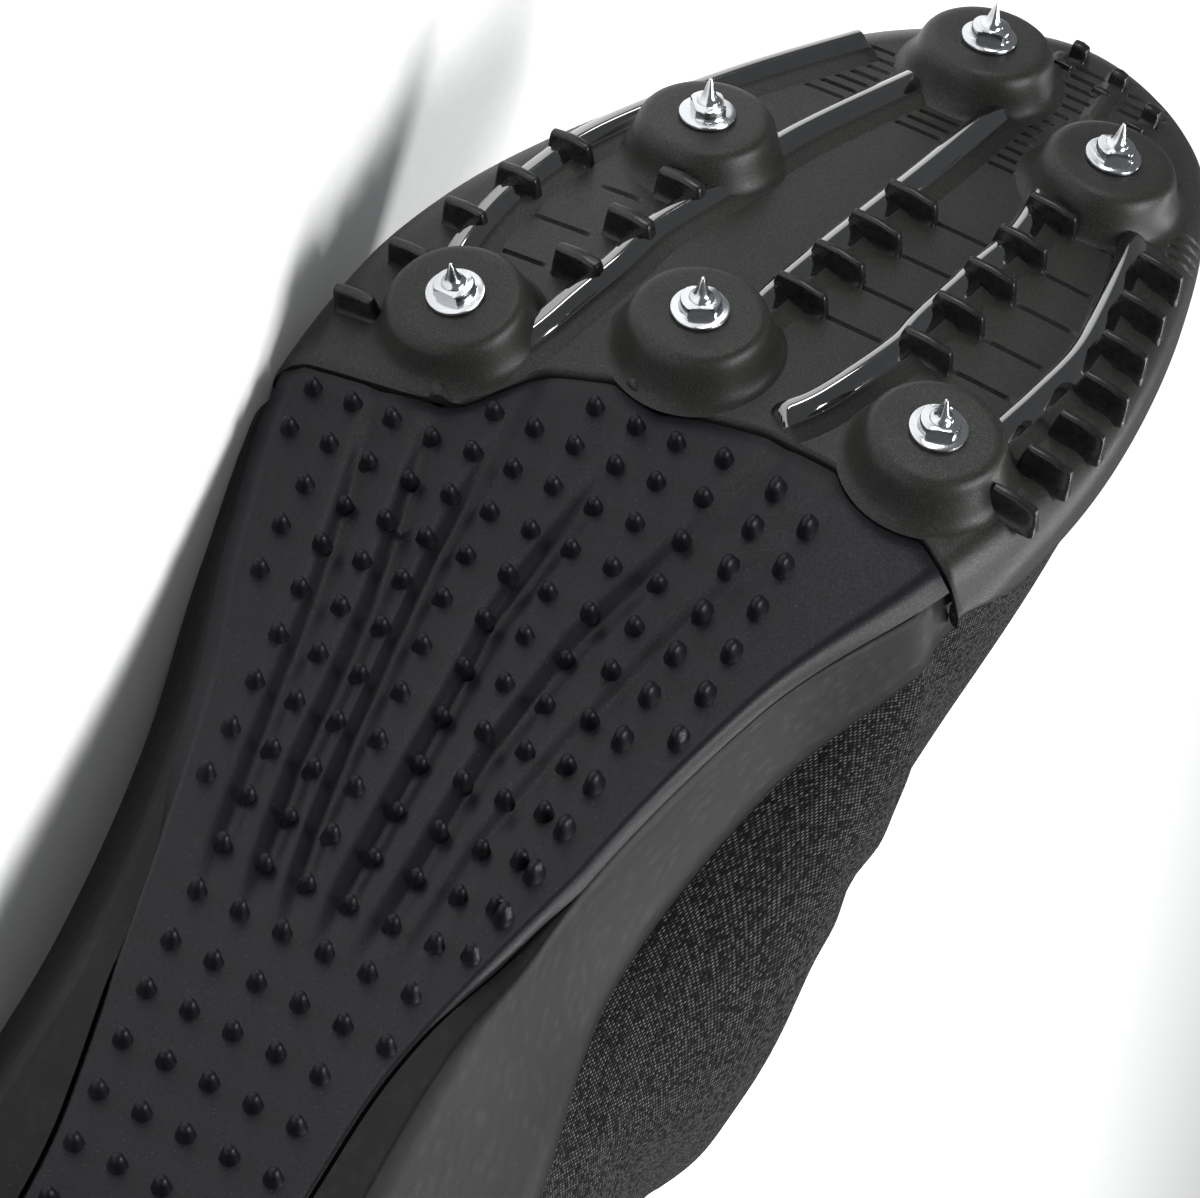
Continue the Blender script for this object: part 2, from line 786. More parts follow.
class EffectLibrary:
    """Shader node groups of the shared effects, each built once."""

    def __init__(self) -> None:
        """Starts with no group built."""
        self.built: dict = {}

    def get(self, effect: Effect) -> bpy.types.NodeTree:
        """Finds an effect, which is built the first time it is asked for.

        Args:
            effect: the one to find.

        Returns:
            Its node group.
        """
        if effect not in self.built:
            self.built[effect] = getattr(self, f"_{effect.name.lower()}")(effect.value)
        return self.built[effect]

    def _open(self, name: str, numbers: dict, outputs: tuple) -> tuple:
        """Starts a group.

        Args:
            name: the group's name.
            numbers: its number inputs and their defaults, after a Vector input.
            outputs: names of its number outputs.

        Returns:
            The nodes helper, the group's input node and its output node.
        """
        tree = bpy.data.node_groups.new(name, "ShaderNodeTree")
        face = tree.interface
        face.new_socket(name="Vector", in_out="INPUT", socket_type="NodeSocketVector")
        for key, value in numbers.items():
            socket = face.new_socket(name=key, in_out="INPUT", socket_type="NodeSocketFloat")
            socket.default_value = value
        for key in outputs:
            face.new_socket(name=key, in_out="OUTPUT", socket_type="NodeSocketFloat")
        nodes = Nodes(tree)
        return nodes, nodes.add("NodeGroupInput").outputs, nodes.add("NodeGroupOutput").inputs

    def _grain(self, name: str) -> bpy.types.NodeTree:
        """Moulded grain: a fine and a coarser noise, as a height and as a soft mask.

        Args:
            name: the group's name.

        Returns:
            The new group.
        """
        n, given, result = self._open(
            name, {"Scale": 2500.0, "Coarse": 0.35}, ("Height", "Mask")
        )
        shared = {"Vector": given["Vector"], "Detail": 2.0}
        fine = n.add("ShaderNodeTexNoise", {**shared, "Scale": given["Scale"]})
        wide = n.math("MULTIPLY", given["Scale"], 0.28)
        rough = n.add("ShaderNodeTexNoise", {**shared, "Scale": wide})
        height = n.math("MULTIPLY_ADD", rough.outputs[0], given["Coarse"], fine.outputs[0])
        n.feed(result["Height"], height)
        n.feed(result["Mask"], n.span(fine.outputs[0], 0.42, 0.66, 0.0, 1.0))
        return n.tree

    def _wear(self, name: str) -> bpy.types.NodeTree:
        """Handled patches: broad soft clouds broken up by smaller ones.

        Args:
            name: the group's name.

        Returns:
            The new group.
        """
        n, given, result = self._open(name, {"Scale": 30.0, "Amount": 0.5}, ("Mask",))
        broad = n.add("ShaderNodeTexNoise", {
            "Vector": given["Vector"], "Scale": given["Scale"],
            "Detail": 5.0, "Roughness": 0.62,
        })
        patch = n.span(broad.outputs[0], 0.44, 0.68, 0.0, 1.0)
        n.feed(result["Mask"], n.math("MULTIPLY", patch, given["Amount"]))
        return n.tree

    def _knit(self, name: str) -> bpy.types.NodeTree:
        """Slanting knitted loops in staggered rows, with some lighter loops.

        Args:
            name: the group's name.

        Returns:
            The new group.
        """
        n, given, result = self._open(
            name, {"Pitch": 1.0, "Slant": 0.5, "Share": 0.2}, ("Height", "Fleck")
        )
        parts = n.add("ShaderNodeSeparateXYZ", {0: given["Vector"]}).outputs
        lean = n.math("MULTIPLY_ADD", parts[1], given["Slant"], parts[0])
        column = n.math("DIVIDE", lean, given["Pitch"])
        row_size = n.math("MULTIPLY", given["Pitch"], 0.62)
        line = n.math("DIVIDE", parts[1], row_size)
        row = n.math("FLOOR", line)
        stagger = n.math("MULTIPLY_ADD", row, 0.5, column)
        wave = n.math("ABSOLUTE", n.math("SINE", n.math("MULTIPLY", stagger, math.pi)))
        ridge = n.math("ABSOLUTE", n.math("SINE", n.math("MULTIPLY", line, math.pi)))
        n.feed(result["Height"], n.math("MULTIPLY", wave, n.math("POWER", ridge, 0.6)))
        cell = n.add("ShaderNodeCombineXYZ", {0: n.math("FLOOR", stagger), 1: row})
        noise = n.add(
            "ShaderNodeTexWhiteNoise", {"Vector": cell.outputs[0]}, noise_dimensions="2D"
        )
        limit = n.math("SUBTRACT", 1.0, given["Share"])
        pick = n.span(noise.outputs["Value"], 0.0, 1.0, n.math("MULTIPLY", limit, -1.0), 1.0)
        dot = n.math("POWER", n.math("MULTIPLY", wave, ridge), 2.5)
        n.feed(result["Fleck"], n.math("MULTIPLY", n.math("MAXIMUM", pick, 0.0), dot))
        return n.tree

    def _braid(self, name: str) -> bpy.types.NodeTree:
        """Strands that cross at a slant, as on a braided cord or a twill cloth.

        Args:
            name: the group's name.

        Returns:
            The new group.
        """
        n, given, result = self._open(name, {"Pitch": 1.2}, ("Height",))
        parts = n.add("ShaderNodeSeparateXYZ", {0: given["Vector"]}).outputs
        waves = []
        for way in ("ADD", "SUBTRACT"):
            lean = n.math("DIVIDE", n.math(way, parts[0], parts[1]), given["Pitch"])
            waves.append(n.math("ABSOLUTE", n.math("SINE", n.math("MULTIPLY", lean, math.pi))))
        n.feed(result["Height"], n.math("MAXIMUM", waves[0], waves[1]))
        return n.tree

    def _stitch(self, name: str) -> bpy.types.NodeTree:
        """One row of stitches at a place across the surface.

        Args:
            name: the group's name.

        Returns:
            The new group.
        """
        n, given, result = self._open(
            name, {"Place": 5.0, "Pitch": 2.6, "Width": 0.35}, ("Mask",)
        )
        parts = n.add("ShaderNodeSeparateXYZ", {0: given["Vector"]}).outputs
        aside = n.math("ABSOLUTE", n.math("SUBTRACT", parts[1], given["Place"]))
        inside = n.math("LESS_THAN", aside, given["Width"])
        step = n.math("FRACT", n.math("DIVIDE", parts[0], given["Pitch"]))
        dash = n.math("LESS_THAN", step, 0.72)
        n.feed(result["Mask"], n.math("MULTIPLY", inside, dash))
        return n.tree

    def _speckle(self, name: str) -> bpy.types.NodeTree:
        """Tiny scattered spots, as dust or as sparkle in moulded plastic.

        Args:
            name: the group's name.

        Returns:
            The new group.
        """
        n, given, result = self._open(name, {"Scale": 900.0, "Share": 0.1}, ("Mask",))
        cells = n.add("ShaderNodeTexVoronoi", {
            "Vector": given["Vector"], "Scale": given["Scale"],
        })
        noise = n.add("ShaderNodeTexWhiteNoise", {"Vector": cells.outputs["Color"]})
        near = n.math("LESS_THAN", cells.outputs["Distance"], 0.34)
        limit = n.math("SUBTRACT", 1.0, given["Share"])
        pick = n.math("GREATER_THAN", noise.outputs["Value"], limit)
        n.feed(result["Mask"], n.math("MULTIPLY", near, pick))
        return n.tree


class Pattern(Enum):
    """What the surface of a finish is made of."""

    GRAIN = "grain"
    PEBBLE = "pebble"
    KNIT = "knit"
    BRAID = "braid"
    SMOOTH = "smooth"
    TURNED = "turned"


@dataclass(frozen=True)
class Finish:
    """One finish of the shoe, with the values of its shader."""

    name: str
    colour: tuple
    light: tuple
    pattern: Pattern
    roughness: tuple = (0.4, 0.55)
    scale: float = 2500.0
    pitch: float = 1.0
    fleck: float = 0.1
    depth: float = 0.05
    strength: float = 0.4
    wear: float = 0.3
    metallic: float = 0.0
    coat: float = 0.0
    coat_roughness: float = 0.05
    coat_ior: float = 1.5
    sheen: float = 0.0
    stitch: float = 0.0
    specular: float = 0.5

    def material(self, library: EffectLibrary) -> bpy.types.Material:
        """Builds the finish.

        Args:
            library: the shared effects.

        Returns:
            The new material.
        """
        material = bpy.data.materials.new(self.name)
        material.use_nodes = True
        n = Nodes(material.node_tree)
        shader = material.node_tree.nodes["Principled BSDF"]
        place = n.add("ShaderNodeTexCoord").outputs
        height, mask = self._surface(n, library, place)
        wear = n.group(library.get(Effect.WEAR), {
            "Vector": place["Object"], "Scale": 34.0, "Amount": self.wear,
        }).outputs["Mask"]
        spots = n.group(library.get(Effect.SPECKLE), {
            "Vector": place["Object"], "Scale": 2300.0, "Share": 0.05,
        }).outputs["Mask"]
        colour = n.blend(mask, (*self.colour, 1), (*self.light, 1))
        worn = tuple(min(1.0, c * 1.5 + 0.004) for c in self.colour)
        colour = n.blend(n.math("MULTIPLY", wear, 0.5), colour, (*worn, 1))
        colour = n.blend(n.math("MULTIPLY", spots, 0.05), colour, (0.2, 0.2, 0.2, 1))
        rough = n.span(mask, 0.0, 1.0, *self.roughness)
        rough = n.math("MULTIPLY_ADD", wear, 0.10, rough)
        if self.stitch:
            thread = n.group(library.get(Effect.STITCH), {
                "Vector": place["UV"], "Place": self.stitch,
            }).outputs["Mask"]
            colour = n.blend(thread, colour, (0.09, 0.09, 0.09, 1))
            height = n.math("MULTIPLY_ADD", thread, 0.8, height)
        bump = n.add("ShaderNodeBump", {
            "Height": height, "Strength": self.strength, "Distance": self.depth * MM,
        })
        n.feed(shader.inputs["Base Color"], colour)
        n.feed(shader.inputs["Roughness"], rough)
        n.feed(shader.inputs["Normal"], bump.outputs[0])
        shader.inputs["Metallic"].default_value = self.metallic
        shader.inputs["Coat Weight"].default_value = self.coat
        shader.inputs["Coat Roughness"].default_value = self.coat_roughness
        shader.inputs["Coat IOR"].default_value = self.coat_ior
        shader.inputs["Specular IOR Level"].default_value = self.specular
        shader.inputs["Sheen Weight"].default_value = self.sheen
        shader.inputs["Sheen Roughness"].default_value = 0.4
        return material

    def _surface(
        self, n: Nodes, library: EffectLibrary, place: bpy.types.NodeOutputs
    ) -> tuple:
        """Lays the pattern.

        Args:
            n: the material's nodes.
            library: the shared effects.
            place: outputs of the Texture Coordinate node.

        Returns:
            The sockets of the pattern's height and of its mask.
        """
        if self.pattern is Pattern.KNIT:
            loops = n.group(library.get(Effect.KNIT), {
                "Vector": place["UV"], "Pitch": self.pitch, "Share": self.fleck,
            }).outputs
            return loops["Height"], loops["Fleck"]
        if self.pattern is Pattern.BRAID:
            strands = n.group(library.get(Effect.BRAID), {
                "Vector": place["UV"], "Pitch": self.pitch,
            }).outputs["Height"]
            return strands, n.span(strands, 0.6, 1.0, 0.0, 1.0)
        if self.pattern is Pattern.PEBBLE:
            long = n.add("ShaderNodeMapping", {
                "Vector": place["Object"], "Scale": (0.55, 1.0, 1.0),
            })
            cells = n.add("ShaderNodeTexVoronoi", {
                "Vector": long.outputs[0], "Scale": self.scale, "Smoothness": 0.6,
            }, feature="SMOOTH_F1")
            skin = n.span(cells.outputs["Distance"], 0.0, 0.7, 1.0, 0.0)
            return skin, n.span(skin, 0.35, 1.0, 0.0, 1.0)
        if self.pattern is Pattern.SMOOTH:
            wave = n.add("ShaderNodeTexNoise", {
                "Vector": place["Object"], "Scale": self.scale, "Detail": 1.0,
            }).outputs[0]
            return wave, n.span(wave, 0.4, 0.6, 0.0, 1.0)
        if self.pattern is Pattern.TURNED:
            rings = n.add("ShaderNodeMapping", {
                "Vector": place["UV"], "Scale": (0.02, 1.0, 1.0),
            })
            lines = n.add("ShaderNodeTexNoise", {
                "Vector": rings.outputs[0], "Scale": 14.0, "Detail": 3.0,
            })
            return lines.outputs[0], n.span(lines.outputs[0], 0.3, 0.7, 0.0, 1.0)
        grain = n.group(library.get(Effect.GRAIN), {
            "Vector": place["Object"], "Scale": self.scale,
        }).outputs
        return grain["Height"], grain["Mask"]


@dataclass(frozen=True)
class FinishSet:
    """The finishes of the shoe."""

    knit: Finish = Finish(
        "black_knit", (0.0045, 0.0045, 0.005), (0.17, 0.17, 0.163), Pattern.KNIT,
        roughness=(0.9, 0.6), pitch=0.52, fleck=0.9, depth=0.2, strength=0.9, sheen=0.03,
        wear=0.1, specular=0.12,
    )
    hem: Finish = Finish(
        "collar_binding", (0.010, 0.010, 0.010), (0.030, 0.030, 0.030), Pattern.BRAID,
        roughness=(0.8, 0.7), pitch=0.9, depth=0.15, strength=0.6, sheen=0.2,
    )
    foam: Finish = Finish(
        "foam_skin", (0.0050, 0.0050, 0.0053), (0.0078, 0.0078, 0.0082), Pattern.PEBBLE,
        roughness=(0.50, 0.42), scale=620.0, depth=0.09, strength=0.4, wear=0.35,
        specular=0.14,
    )
    plate: Finish = Finish(
        "spark_grained_plastic", (0.0105, 0.0105, 0.0095), (0.026, 0.026, 0.024), Pattern.GRAIN,
        roughness=(0.46, 0.36), scale=4600.0, depth=0.035, strength=0.6, wear=0.12,
        specular=0.24,
    )
    gloss: Finish = Finish(
        "polished_plastic", (0.003, 0.003, 0.0035), (0.004, 0.004, 0.004), Pattern.SMOOTH,
        roughness=(0.07, 0.10), scale=500.0, depth=0.004, strength=0.2, wear=0.1,
        coat=1.0, coat_roughness=0.03, coat_ior=2.2, specular=0.8,
    )
    blade: Finish = Finish(
        "blade_plastic", (0.008, 0.008, 0.008), (0.011, 0.011, 0.011), Pattern.SMOOTH,
        roughness=(0.26, 0.30), scale=900.0, depth=0.002, strength=0.1, wear=0.1,
        specular=0.35,
    )
    rubber: Finish = Finish(
        "pad_rubber", (0.0034, 0.0034, 0.0048), (0.0070, 0.0070, 0.0098), Pattern.GRAIN,
        roughness=(0.46, 0.38), scale=3400.0, depth=0.05, strength=0.5, wear=0.3,
        specular=0.18,
    )
    steel: Finish = Finish(
        "bright_zinc", (0.40, 0.42, 0.44), (0.66, 0.67, 0.68), Pattern.TURNED,
        roughness=(0.13, 0.22), depth=0.01, strength=0.25, wear=0.15, metallic=1.0,
    )
    cloth: Finish = Finish(
        "footbed_cloth", (0.018, 0.018, 0.020), (0.05, 0.05, 0.052), Pattern.BRAID,
        roughness=(0.9, 0.8), pitch=1.1, depth=0.12, strength=0.5, sheen=0.3, wear=0.5,
    )
    film: Finish = Finish(
        "welded_film", (0.012, 0.012, 0.012), (0.020, 0.020, 0.020), Pattern.GRAIN,
        roughness=(0.34, 0.44), scale=1500.0, depth=0.04, strength=0.35, stitch=3.0,
    )
    cord: Finish = Finish(
        "braided_cord", (0.010, 0.010, 0.010), (0.045, 0.045, 0.045), Pattern.BRAID,
        roughness=(0.85, 0.65), pitch=1.3, depth=0.25, strength=0.8, sheen=0.2,
    )
    ring: Finish = Finish(
        "eyelet_ring", (0.008, 0.008, 0.008), (0.016, 0.016, 0.016), Pattern.GRAIN,
        roughness=(0.22, 0.30), scale=1800.0, depth=0.01, strength=0.2,
    )
    floor: Finish = Finish(
        "studio_floor", (0.93, 0.93, 0.93), (0.95, 0.95, 0.95), Pattern.GRAIN,
        roughness=(0.75, 0.85), scale=400.0, depth=0.02, strength=0.1, wear=0.0,
    )


@dataclass
class UpperShell:
    """Knitted shell over the last, with soft creases and a bound opening."""

    form: ShoeForm
    steps: int = 400
    rows: int = 60
    hem_radius: float = 1.35 * MM
    hem_depth: float = 1.9 * MM
    inner_level: float = 1.4 * MM
    ridge_share: float = 0.55
    ridge_place: float = 1.9

    # Each crease: around and share at both ends, depth and half width in metres
    creases: tuple = (
        (0.385, 0.22, 0.445, 0.78, 0.9 * MM, 3.2 * MM),
        (0.365, 0.20, 0.420, 0.70, 0.7 * MM, 2.8 * MM),
        (0.405, 0.30, 0.470, 0.66, 0.6 * MM, 2.6 * MM),
        (0.615, 0.22, 0.556, 0.78, 0.9 * MM, 3.2 * MM),
        (0.635, 0.20, 0.580, 0.70, 0.7 * MM, 2.8 * MM),
        (0.595, 0.30, 0.532, 0.66, 0.6 * MM, 2.6 * MM),
        (0.100, 0.35, 0.150, 0.80, 0.7 * MM, 4.0 * MM),
        (0.180, 0.30, 0.235, 0.82, 0.8 * MM, 4.4 * MM),
        (0.900, 0.35, 0.850, 0.80, 0.7 * MM, 4.0 * MM),
        (0.820, 0.30, 0.765, 0.82, 0.8 * MM, 4.4 * MM),
        (0.270, 0.25, 0.330, 0.72, 0.6 * MM, 3.6 * MM),
        (0.730, 0.25, 0.670, 0.72, 0.6 * MM, 3.6 * MM),
    )

    def sheet(self) -> tuple:
        """Outer face of the shell.

        Returns:
            The creased points and their outward normals.
        """
        around = (np.arange(self.steps) / self.steps)[:, None]
        share = np.concatenate(([0.0, 0.03], np.linspace(LIP_SHARE, 1.0, self.rows)))[None]
        points = self.form.upper(around, share)
        normals = self.form.upper_normal(around, share)
        fade = soft_step(0.10, 0.22, share) * (1 - soft_step(0.86, 0.97, share))
        push = np.zeros(points.shape[:2])
        for a0, s0, a1, s1, depth, width in self.creases:
            t = np.linspace(0, 1, 24)
            line = self.form.upper(mix(a0, a1, t) + 0.006 * np.sin(t * 5), mix(s0, s1, t))
            gap = np.full(points.shape[:2], np.inf)
            for spot, ease in zip(line, np.sin(np.pi * (0.08 + 0.84 * t))):
                far = np.linalg.norm(points - spot, axis=-1)
                gap = np.minimum(gap, far + (1 - ease) * width)
            ridge = np.exp(-(((gap - self.ridge_place * width) / width) ** 2))
            trough = np.exp(-((gap / width) ** 2))
            push += depth * (self.ridge_share * ridge - trough)
        return points + normals * (push * fade)[..., None], normals

    def build(self, knit: Material, hem: Material) -> None:
        """Builds the shell with the roll of its bound edge.

        Args:
            knit: finish of the shell.
            hem: finish of the bound edge.
        """
        outer, normals = self.sheet()
        inner = outer - normals * self.form.sizes.upper_wall
        inner = self.form.above(inner, self.inner_level)
        maker = MeshMaker(self.form)
        section = np.concatenate((outer, inner[:, ::-1]), 1)
        maker.grid(section, ring=True, loop=True, inside=outer.mean(axis=(0, 1)))
        middle = outer[:, -1] - normals[:, -1] * self.form.sizes.upper_wall / 2
        maker.tube(middle, normals[:, -1], self.hem_depth, self.hem_radius, ring=True, finish=1)
        settle(maker.build("upper_shell", [knit, hem], sharp=None), "knit", "upper")


@dataclass
class Midsole:
    """Moulded foam carrier with its lip, side wall and pocket for the pad."""

    form: ShoeForm
    stations: int = 170
    wall_rows: int = 14
    corner: float = 1.0 * MM

    def side(self, around: np.ndarray) -> tuple:
        """Section of one side, station by station.

        Args:
            around: places round the shoe.

        Returns:
            The points from the lip to the pocket's floor, and the lip's own line.
        """
        f, s = self.form, self.form.sizes
        row = f.sole(around)
        rise = row.rise * s.side_wall
        covered = f.plate_cover(around) * (s.rim_wall + s.rim_gap)
        inset = np.maximum(row.inset, 0.0) * s.ball_width
        pocket = soft_step(1.2 * MM, 4.5 * MM, inset)
        start = (s.layer + s.layer_gap) / rise * (1 - pocket)
        radius = mix(0.5 * MM, self.corner, pocket)
        lip = f.wall(around, 1.0, f.lip_inset(around) - s.clearance) - UP * s.lip_drop
        rim = f.wall(around, 1.0, covered) - UP * s.lip_drop
        line = [lip, mix(lip, rim, 0.35) + UP * 0.22 * MM, mix(lip, rim, 0.75) + UP * 0.15 * MM]
        top = 1 - (s.lip_drop + 0.3 * MM) / rise
        low = start + radius / rise
        for k in range(self.wall_rows):
            line.append(f.wall(around, mix(top, low, k / (self.wall_rows - 1)), covered))
        base, out = f.wall(around, start, covered), f.out3(around)
        for degrees in (25, 50, 72, 90):
            turn = math.radians(degrees)
            lift = (radius * (1 - math.sin(turn)))[:, None]
            line.append(base + UP * lift - out * (radius * (1 - math.cos(turn)))[:, None])
        back = np.maximum(inset - s.clearance, 0.5 * MM)
        back = np.maximum(back, radius + 0.2 * MM) + covered
        place = f.edge(around) - f.out(around) * back[:, None]
        level = f.bottom(place[:, 0], place[:, 1])
        raised = level + s.layer + s.layer_gap
        low_end = mix(raised, level, pocket)
        line.append(np.column_stack((place, low_end)))
        line.append(np.column_stack((place, raised)))
        return np.stack(line, 1), lip

    def build(self, foam: Material) -> None:
        """Builds the closed carrier.

        Args:
            foam: its finish.
        """
        f, s = self.form, self.form.sizes
        half = np.linspace(0.0, 0.5, self.stations)
        (left, lip_left), (right, lip_right) = self.side(half), self.side(1 - half)
        across = []
        for share in np.linspace(0, 1, 12)[1:-1]:
            place = mix(left[:, -1], right[:, -1], share)
            place[:, 2] = f.bottom(place[:, 0], place[:, 1]) + s.layer + s.layer_gap
            across.append(place)
        floor = []
        deep = UP * (s.lip_depth + s.clearance - s.lip_drop)
        for share in np.linspace(0, 1, 12):
            cup = s.footbed_cup * (1 - (2 * share - 1) ** 2)
            floor.append(mix(lip_left, lip_right, share) - deep - UP * cup)
        section = np.concatenate((
            left, np.stack(across, 1), right[:, ::-1], np.stack(floor[::-1], 1),
        ), 1)
        maker = MeshMaker(f)
        maker.grid(section, loop=True, inside=(s.length / 2, 0, 12 * MM))
        settle(maker.build("midsole_foam", [foam], sharp=60.0), "foam", "midsole")


@dataclass
class SpikePlate:
    """Moulded forefoot plate with bosses, glossy ribs, cross blades and grooves."""

    form: ShoeForm
    step: float = 0.6 * MM
    columns: int = 188
    corner: float = 1.9 * MM
    straight: float = 193 * MM
    toe_start: float = 262 * MM
    groove_depth: float = 0.75 * MM
    groove_half: float = 0.36 * MM

    # Grooves across the plate: place along, then both ends across, in millimetres
    grooves: tuple = (
        (231.0, 7.0, 16.0), (222.0, 7.0, 15.0), (213.0, 5.0, 14.0), (205.0, 3.0, 13.0),
        (241.0, 23.0, 30.0), (231.0, 24.0, 31.0), (223.0, 24.0, 32.0), (214.0, 24.0, 32.0),
        (206.0, 23.0, 31.0), (212.0, -32.0, -27.0), (202.0, -37.0, -29.0),
        (193.6, -38.0, -31.0),
        (248.0, -22.6, -14.6), (250.3, -21.8, -14.0), (252.5, -20.9, -13.3),
        (254.7, -20.0, -12.6), (257.0, -19.0, -12.2), (259.3, -18.1, -12.0),
        (261.6, -17.2, -12.4),
        (247.7, -7.5, 0.2), (249.9, -7.2, 0.6), (252.1, -7.0, 1.0), (254.4, -6.7, 0.9),
        (256.7, -6.3, 0.8),
        (247.6, 6.7, 13.5), (249.9, 6.7, 11.9), (252.1, 6.7, 10.9), (254.4, 6.7, 10.5),
        (256.6, 6.7, 10.2), (258.9, 6.9, 10.3), (261.2, 6.9, 10.9), (263.7, 7.3, 12.0),
        (266.2, 7.5, 12.7), (268.6, 7.6, 12.9), (271.0, 7.6, 12.6), (273.4, 7.6, 12.4),
        (275.6, 7.4, 12.0),
        (270.6, 16.8, 22.2), (272.7, 16.4, 21.6), (274.8, 16.1, 21.0),
        (246.4, 35.0, 39.0), (248.4, 34.4, 38.4), (250.4, 34.0, 37.8), (252.4, 33.6, 37.2),
    )

    # Low ridges: both ends and half width and height, in millimetres
    ridges: tuple = (
        (266.0, 14.6, 277.0, 13.6, 1.1, 0.6),
        (262.5, 6.0, 276.5, 5.0, 0.9, 0.45),
        (170.5, -33.5, 166.0, -30.5, 1.0, 1.1),
        (180.0, -10.5, 186.0, -9.0, 1.0, 1.1),
        (181.0, 24.0, 186.0, 26.0, 1.0, 1.1),
    )

    # Long ribs, toe end first: along and across shares of each bend
    ribs: tuple = (
        ((0.923, -0.184), (0.852, -0.296), (0.782, -0.388), (0.739, -0.418),
         (0.694, -0.429), (0.644, -0.408), (0.601, -0.335)),
        ((0.908, -0.082), (0.824, -0.163), (0.768, -0.194), (0.729, -0.224),
         (0.690, -0.235), (0.644, -0.262), (0.616, -0.296)),
        ((0.912, 0.041), (0.838, 0.020), (0.708, -0.031), (0.648, -0.040)),
        ((0.866, 0.173), (0.827, 0.184), (0.792, 0.173), (0.743, 0.158),
         (0.718, 0.153), (0.672, 0.118), (0.650, 0.082)),
        ((0.866, 0.306), (0.842, 0.327), (0.803, 0.347), (0.768, 0.357),
         (0.729, 0.347), (0.704, 0.337), (0.653, 0.316)),
    )

    # Rows of blades: count, first and last place, width, height and thickness
    blades: tuple = (
        (5, (0.757, -0.397), (0.620, -0.497), 6.6 * MM, 3.9 * MM, 1.6 * MM),
        (3, (0.757, -0.228), (0.683, -0.266), 7.2 * MM, 4.2 * MM, 2.2 * MM),
        (4, (0.812, 0.040), (0.722, 0.006), 8.2 * MM, 3.9 * MM, 1.4 * MM),
        (5, (0.847, 0.204), (0.724, 0.190), 8.0 * MM, 3.9 * MM, 1.4 * MM),
        (4, (0.842, 0.372), (0.750, 0.416), 7.6 * MM, 4.2 * MM, 1.5 * MM),
        (3, (0.720, 0.422), (0.662, 0.408), 7.6 * MM, 4.2 * MM, 1.5 * MM),
    )
    pegs: tuple = ((0.979, 0.071), (0.971, 0.143), (0.956, 0.214))
    peg_size: float = 2.6 * MM

    def groove_marks(self) -> np.ndarray:
        """The grooves in metres."""
        return np.array(self.grooves) * MM

    def base(self) -> tuple:
        """Grid of the underside before its relief.

        Returns:
            The places x and y, rows by columns, and the ends round the shoe of each row.
        """
        f, s = self.form, self.form.sizes
        sides = []
        for first in (0.15, 0.85):
            around = np.linspace(first, 0.5, 3000)
            sides.append((np.maximum.accumulate(f.edge(around)[:, 0]), around))
        tip = min(sides[0][0][-1], sides[1][0][-1])
        ends = [f.edge(a)[0] for a in f.seam_ends(s.clearance)]
        back = np.linspace(0, 1, 46)[:-1]
        rows = [np.array([mix(end, self.straight, back) for end in ends]).T]
        places = list(np.arange(self.straight, self.toe_start, self.step))
        places += list(tip - (tip - self.toe_start) * (1 - np.linspace(0, 1, 46)) ** 2)
        for x, _, _ in self.groove_marks():
            places += [x + k * MM for k in (-0.44, -0.22, 0.0, 0.22, 0.44)]
        places = np.unique(np.round([p for p in places if self.straight <= p <= tip], 6))
        keep = [places[0]]
        for place in places[1:-1]:
            if place - keep[-1] > 0.09 * MM:
                keep.append(place)
        keep = np.array(keep + [places[-1]])
        rows.append(np.column_stack((keep, keep)))
        rows = np.vstack(rows)
        arounds = [np.interp(rows[:, k], *sides[k]) for k in (0, 1)]
        left, right = f.edge(arounds[0]), f.edge(arounds[1])
        share = np.linspace(0, 1, self.columns)
        share = mix(share, 0.5 - 0.5 * np.cos(np.pi * share), 0.25)[None]
        y = mix(left[:, 1:], right[:, 1:], share)
        x = mix(rows[:, :1], rows[:, 1:], share)
        for k, part in enumerate(back):
            bent = mix(f.seam(y[k]) + s.clearance, self.straight, part)
            miss = mix(rows[k, 0] - bent[0], rows[k, 1] - bent[-1], share[0])
            x[k] = bent + miss
        return x, y, arounds

    def relief(self, x: np.ndarray, y: np.ndarray) -> np.ndarray:
        """Relief of the grooves and low ridges.

        Args:
            x: places along.
            y: places across.

        Returns:
            How far the surface stands out of the plain underside, in metres.
        """
        proud = np.zeros_like(x)
        for place, low, high in self.groove_marks():
            near = np.clip(1 - ((x - place) / self.groove_half) ** 2, 0, 1)
            along = soft_step(low - 0.3 * MM, low + 0.3 * MM, y)
            along = along * (1 - soft_step(high - 0.3 * MM, high + 0.3 * MM, y))
            proud = proud - self.groove_depth * np.sqrt(near) * along
        for x0, y0, x1, y1, half, high in np.array(self.ridges) * MM:
            way = np.array((x1 - x0, y1 - y0))
            t = ((x - x0) * way[0] + (y - y0) * way[1]) / (way @ way)
            t = np.clip(t, 0, 1)
            far = np.hypot(x - x0 - t * way[0], y - y0 - t * way[1])
            proud = proud + high * (1 - soft_step(0.45 * half, half * 1.5, far))
        return proud

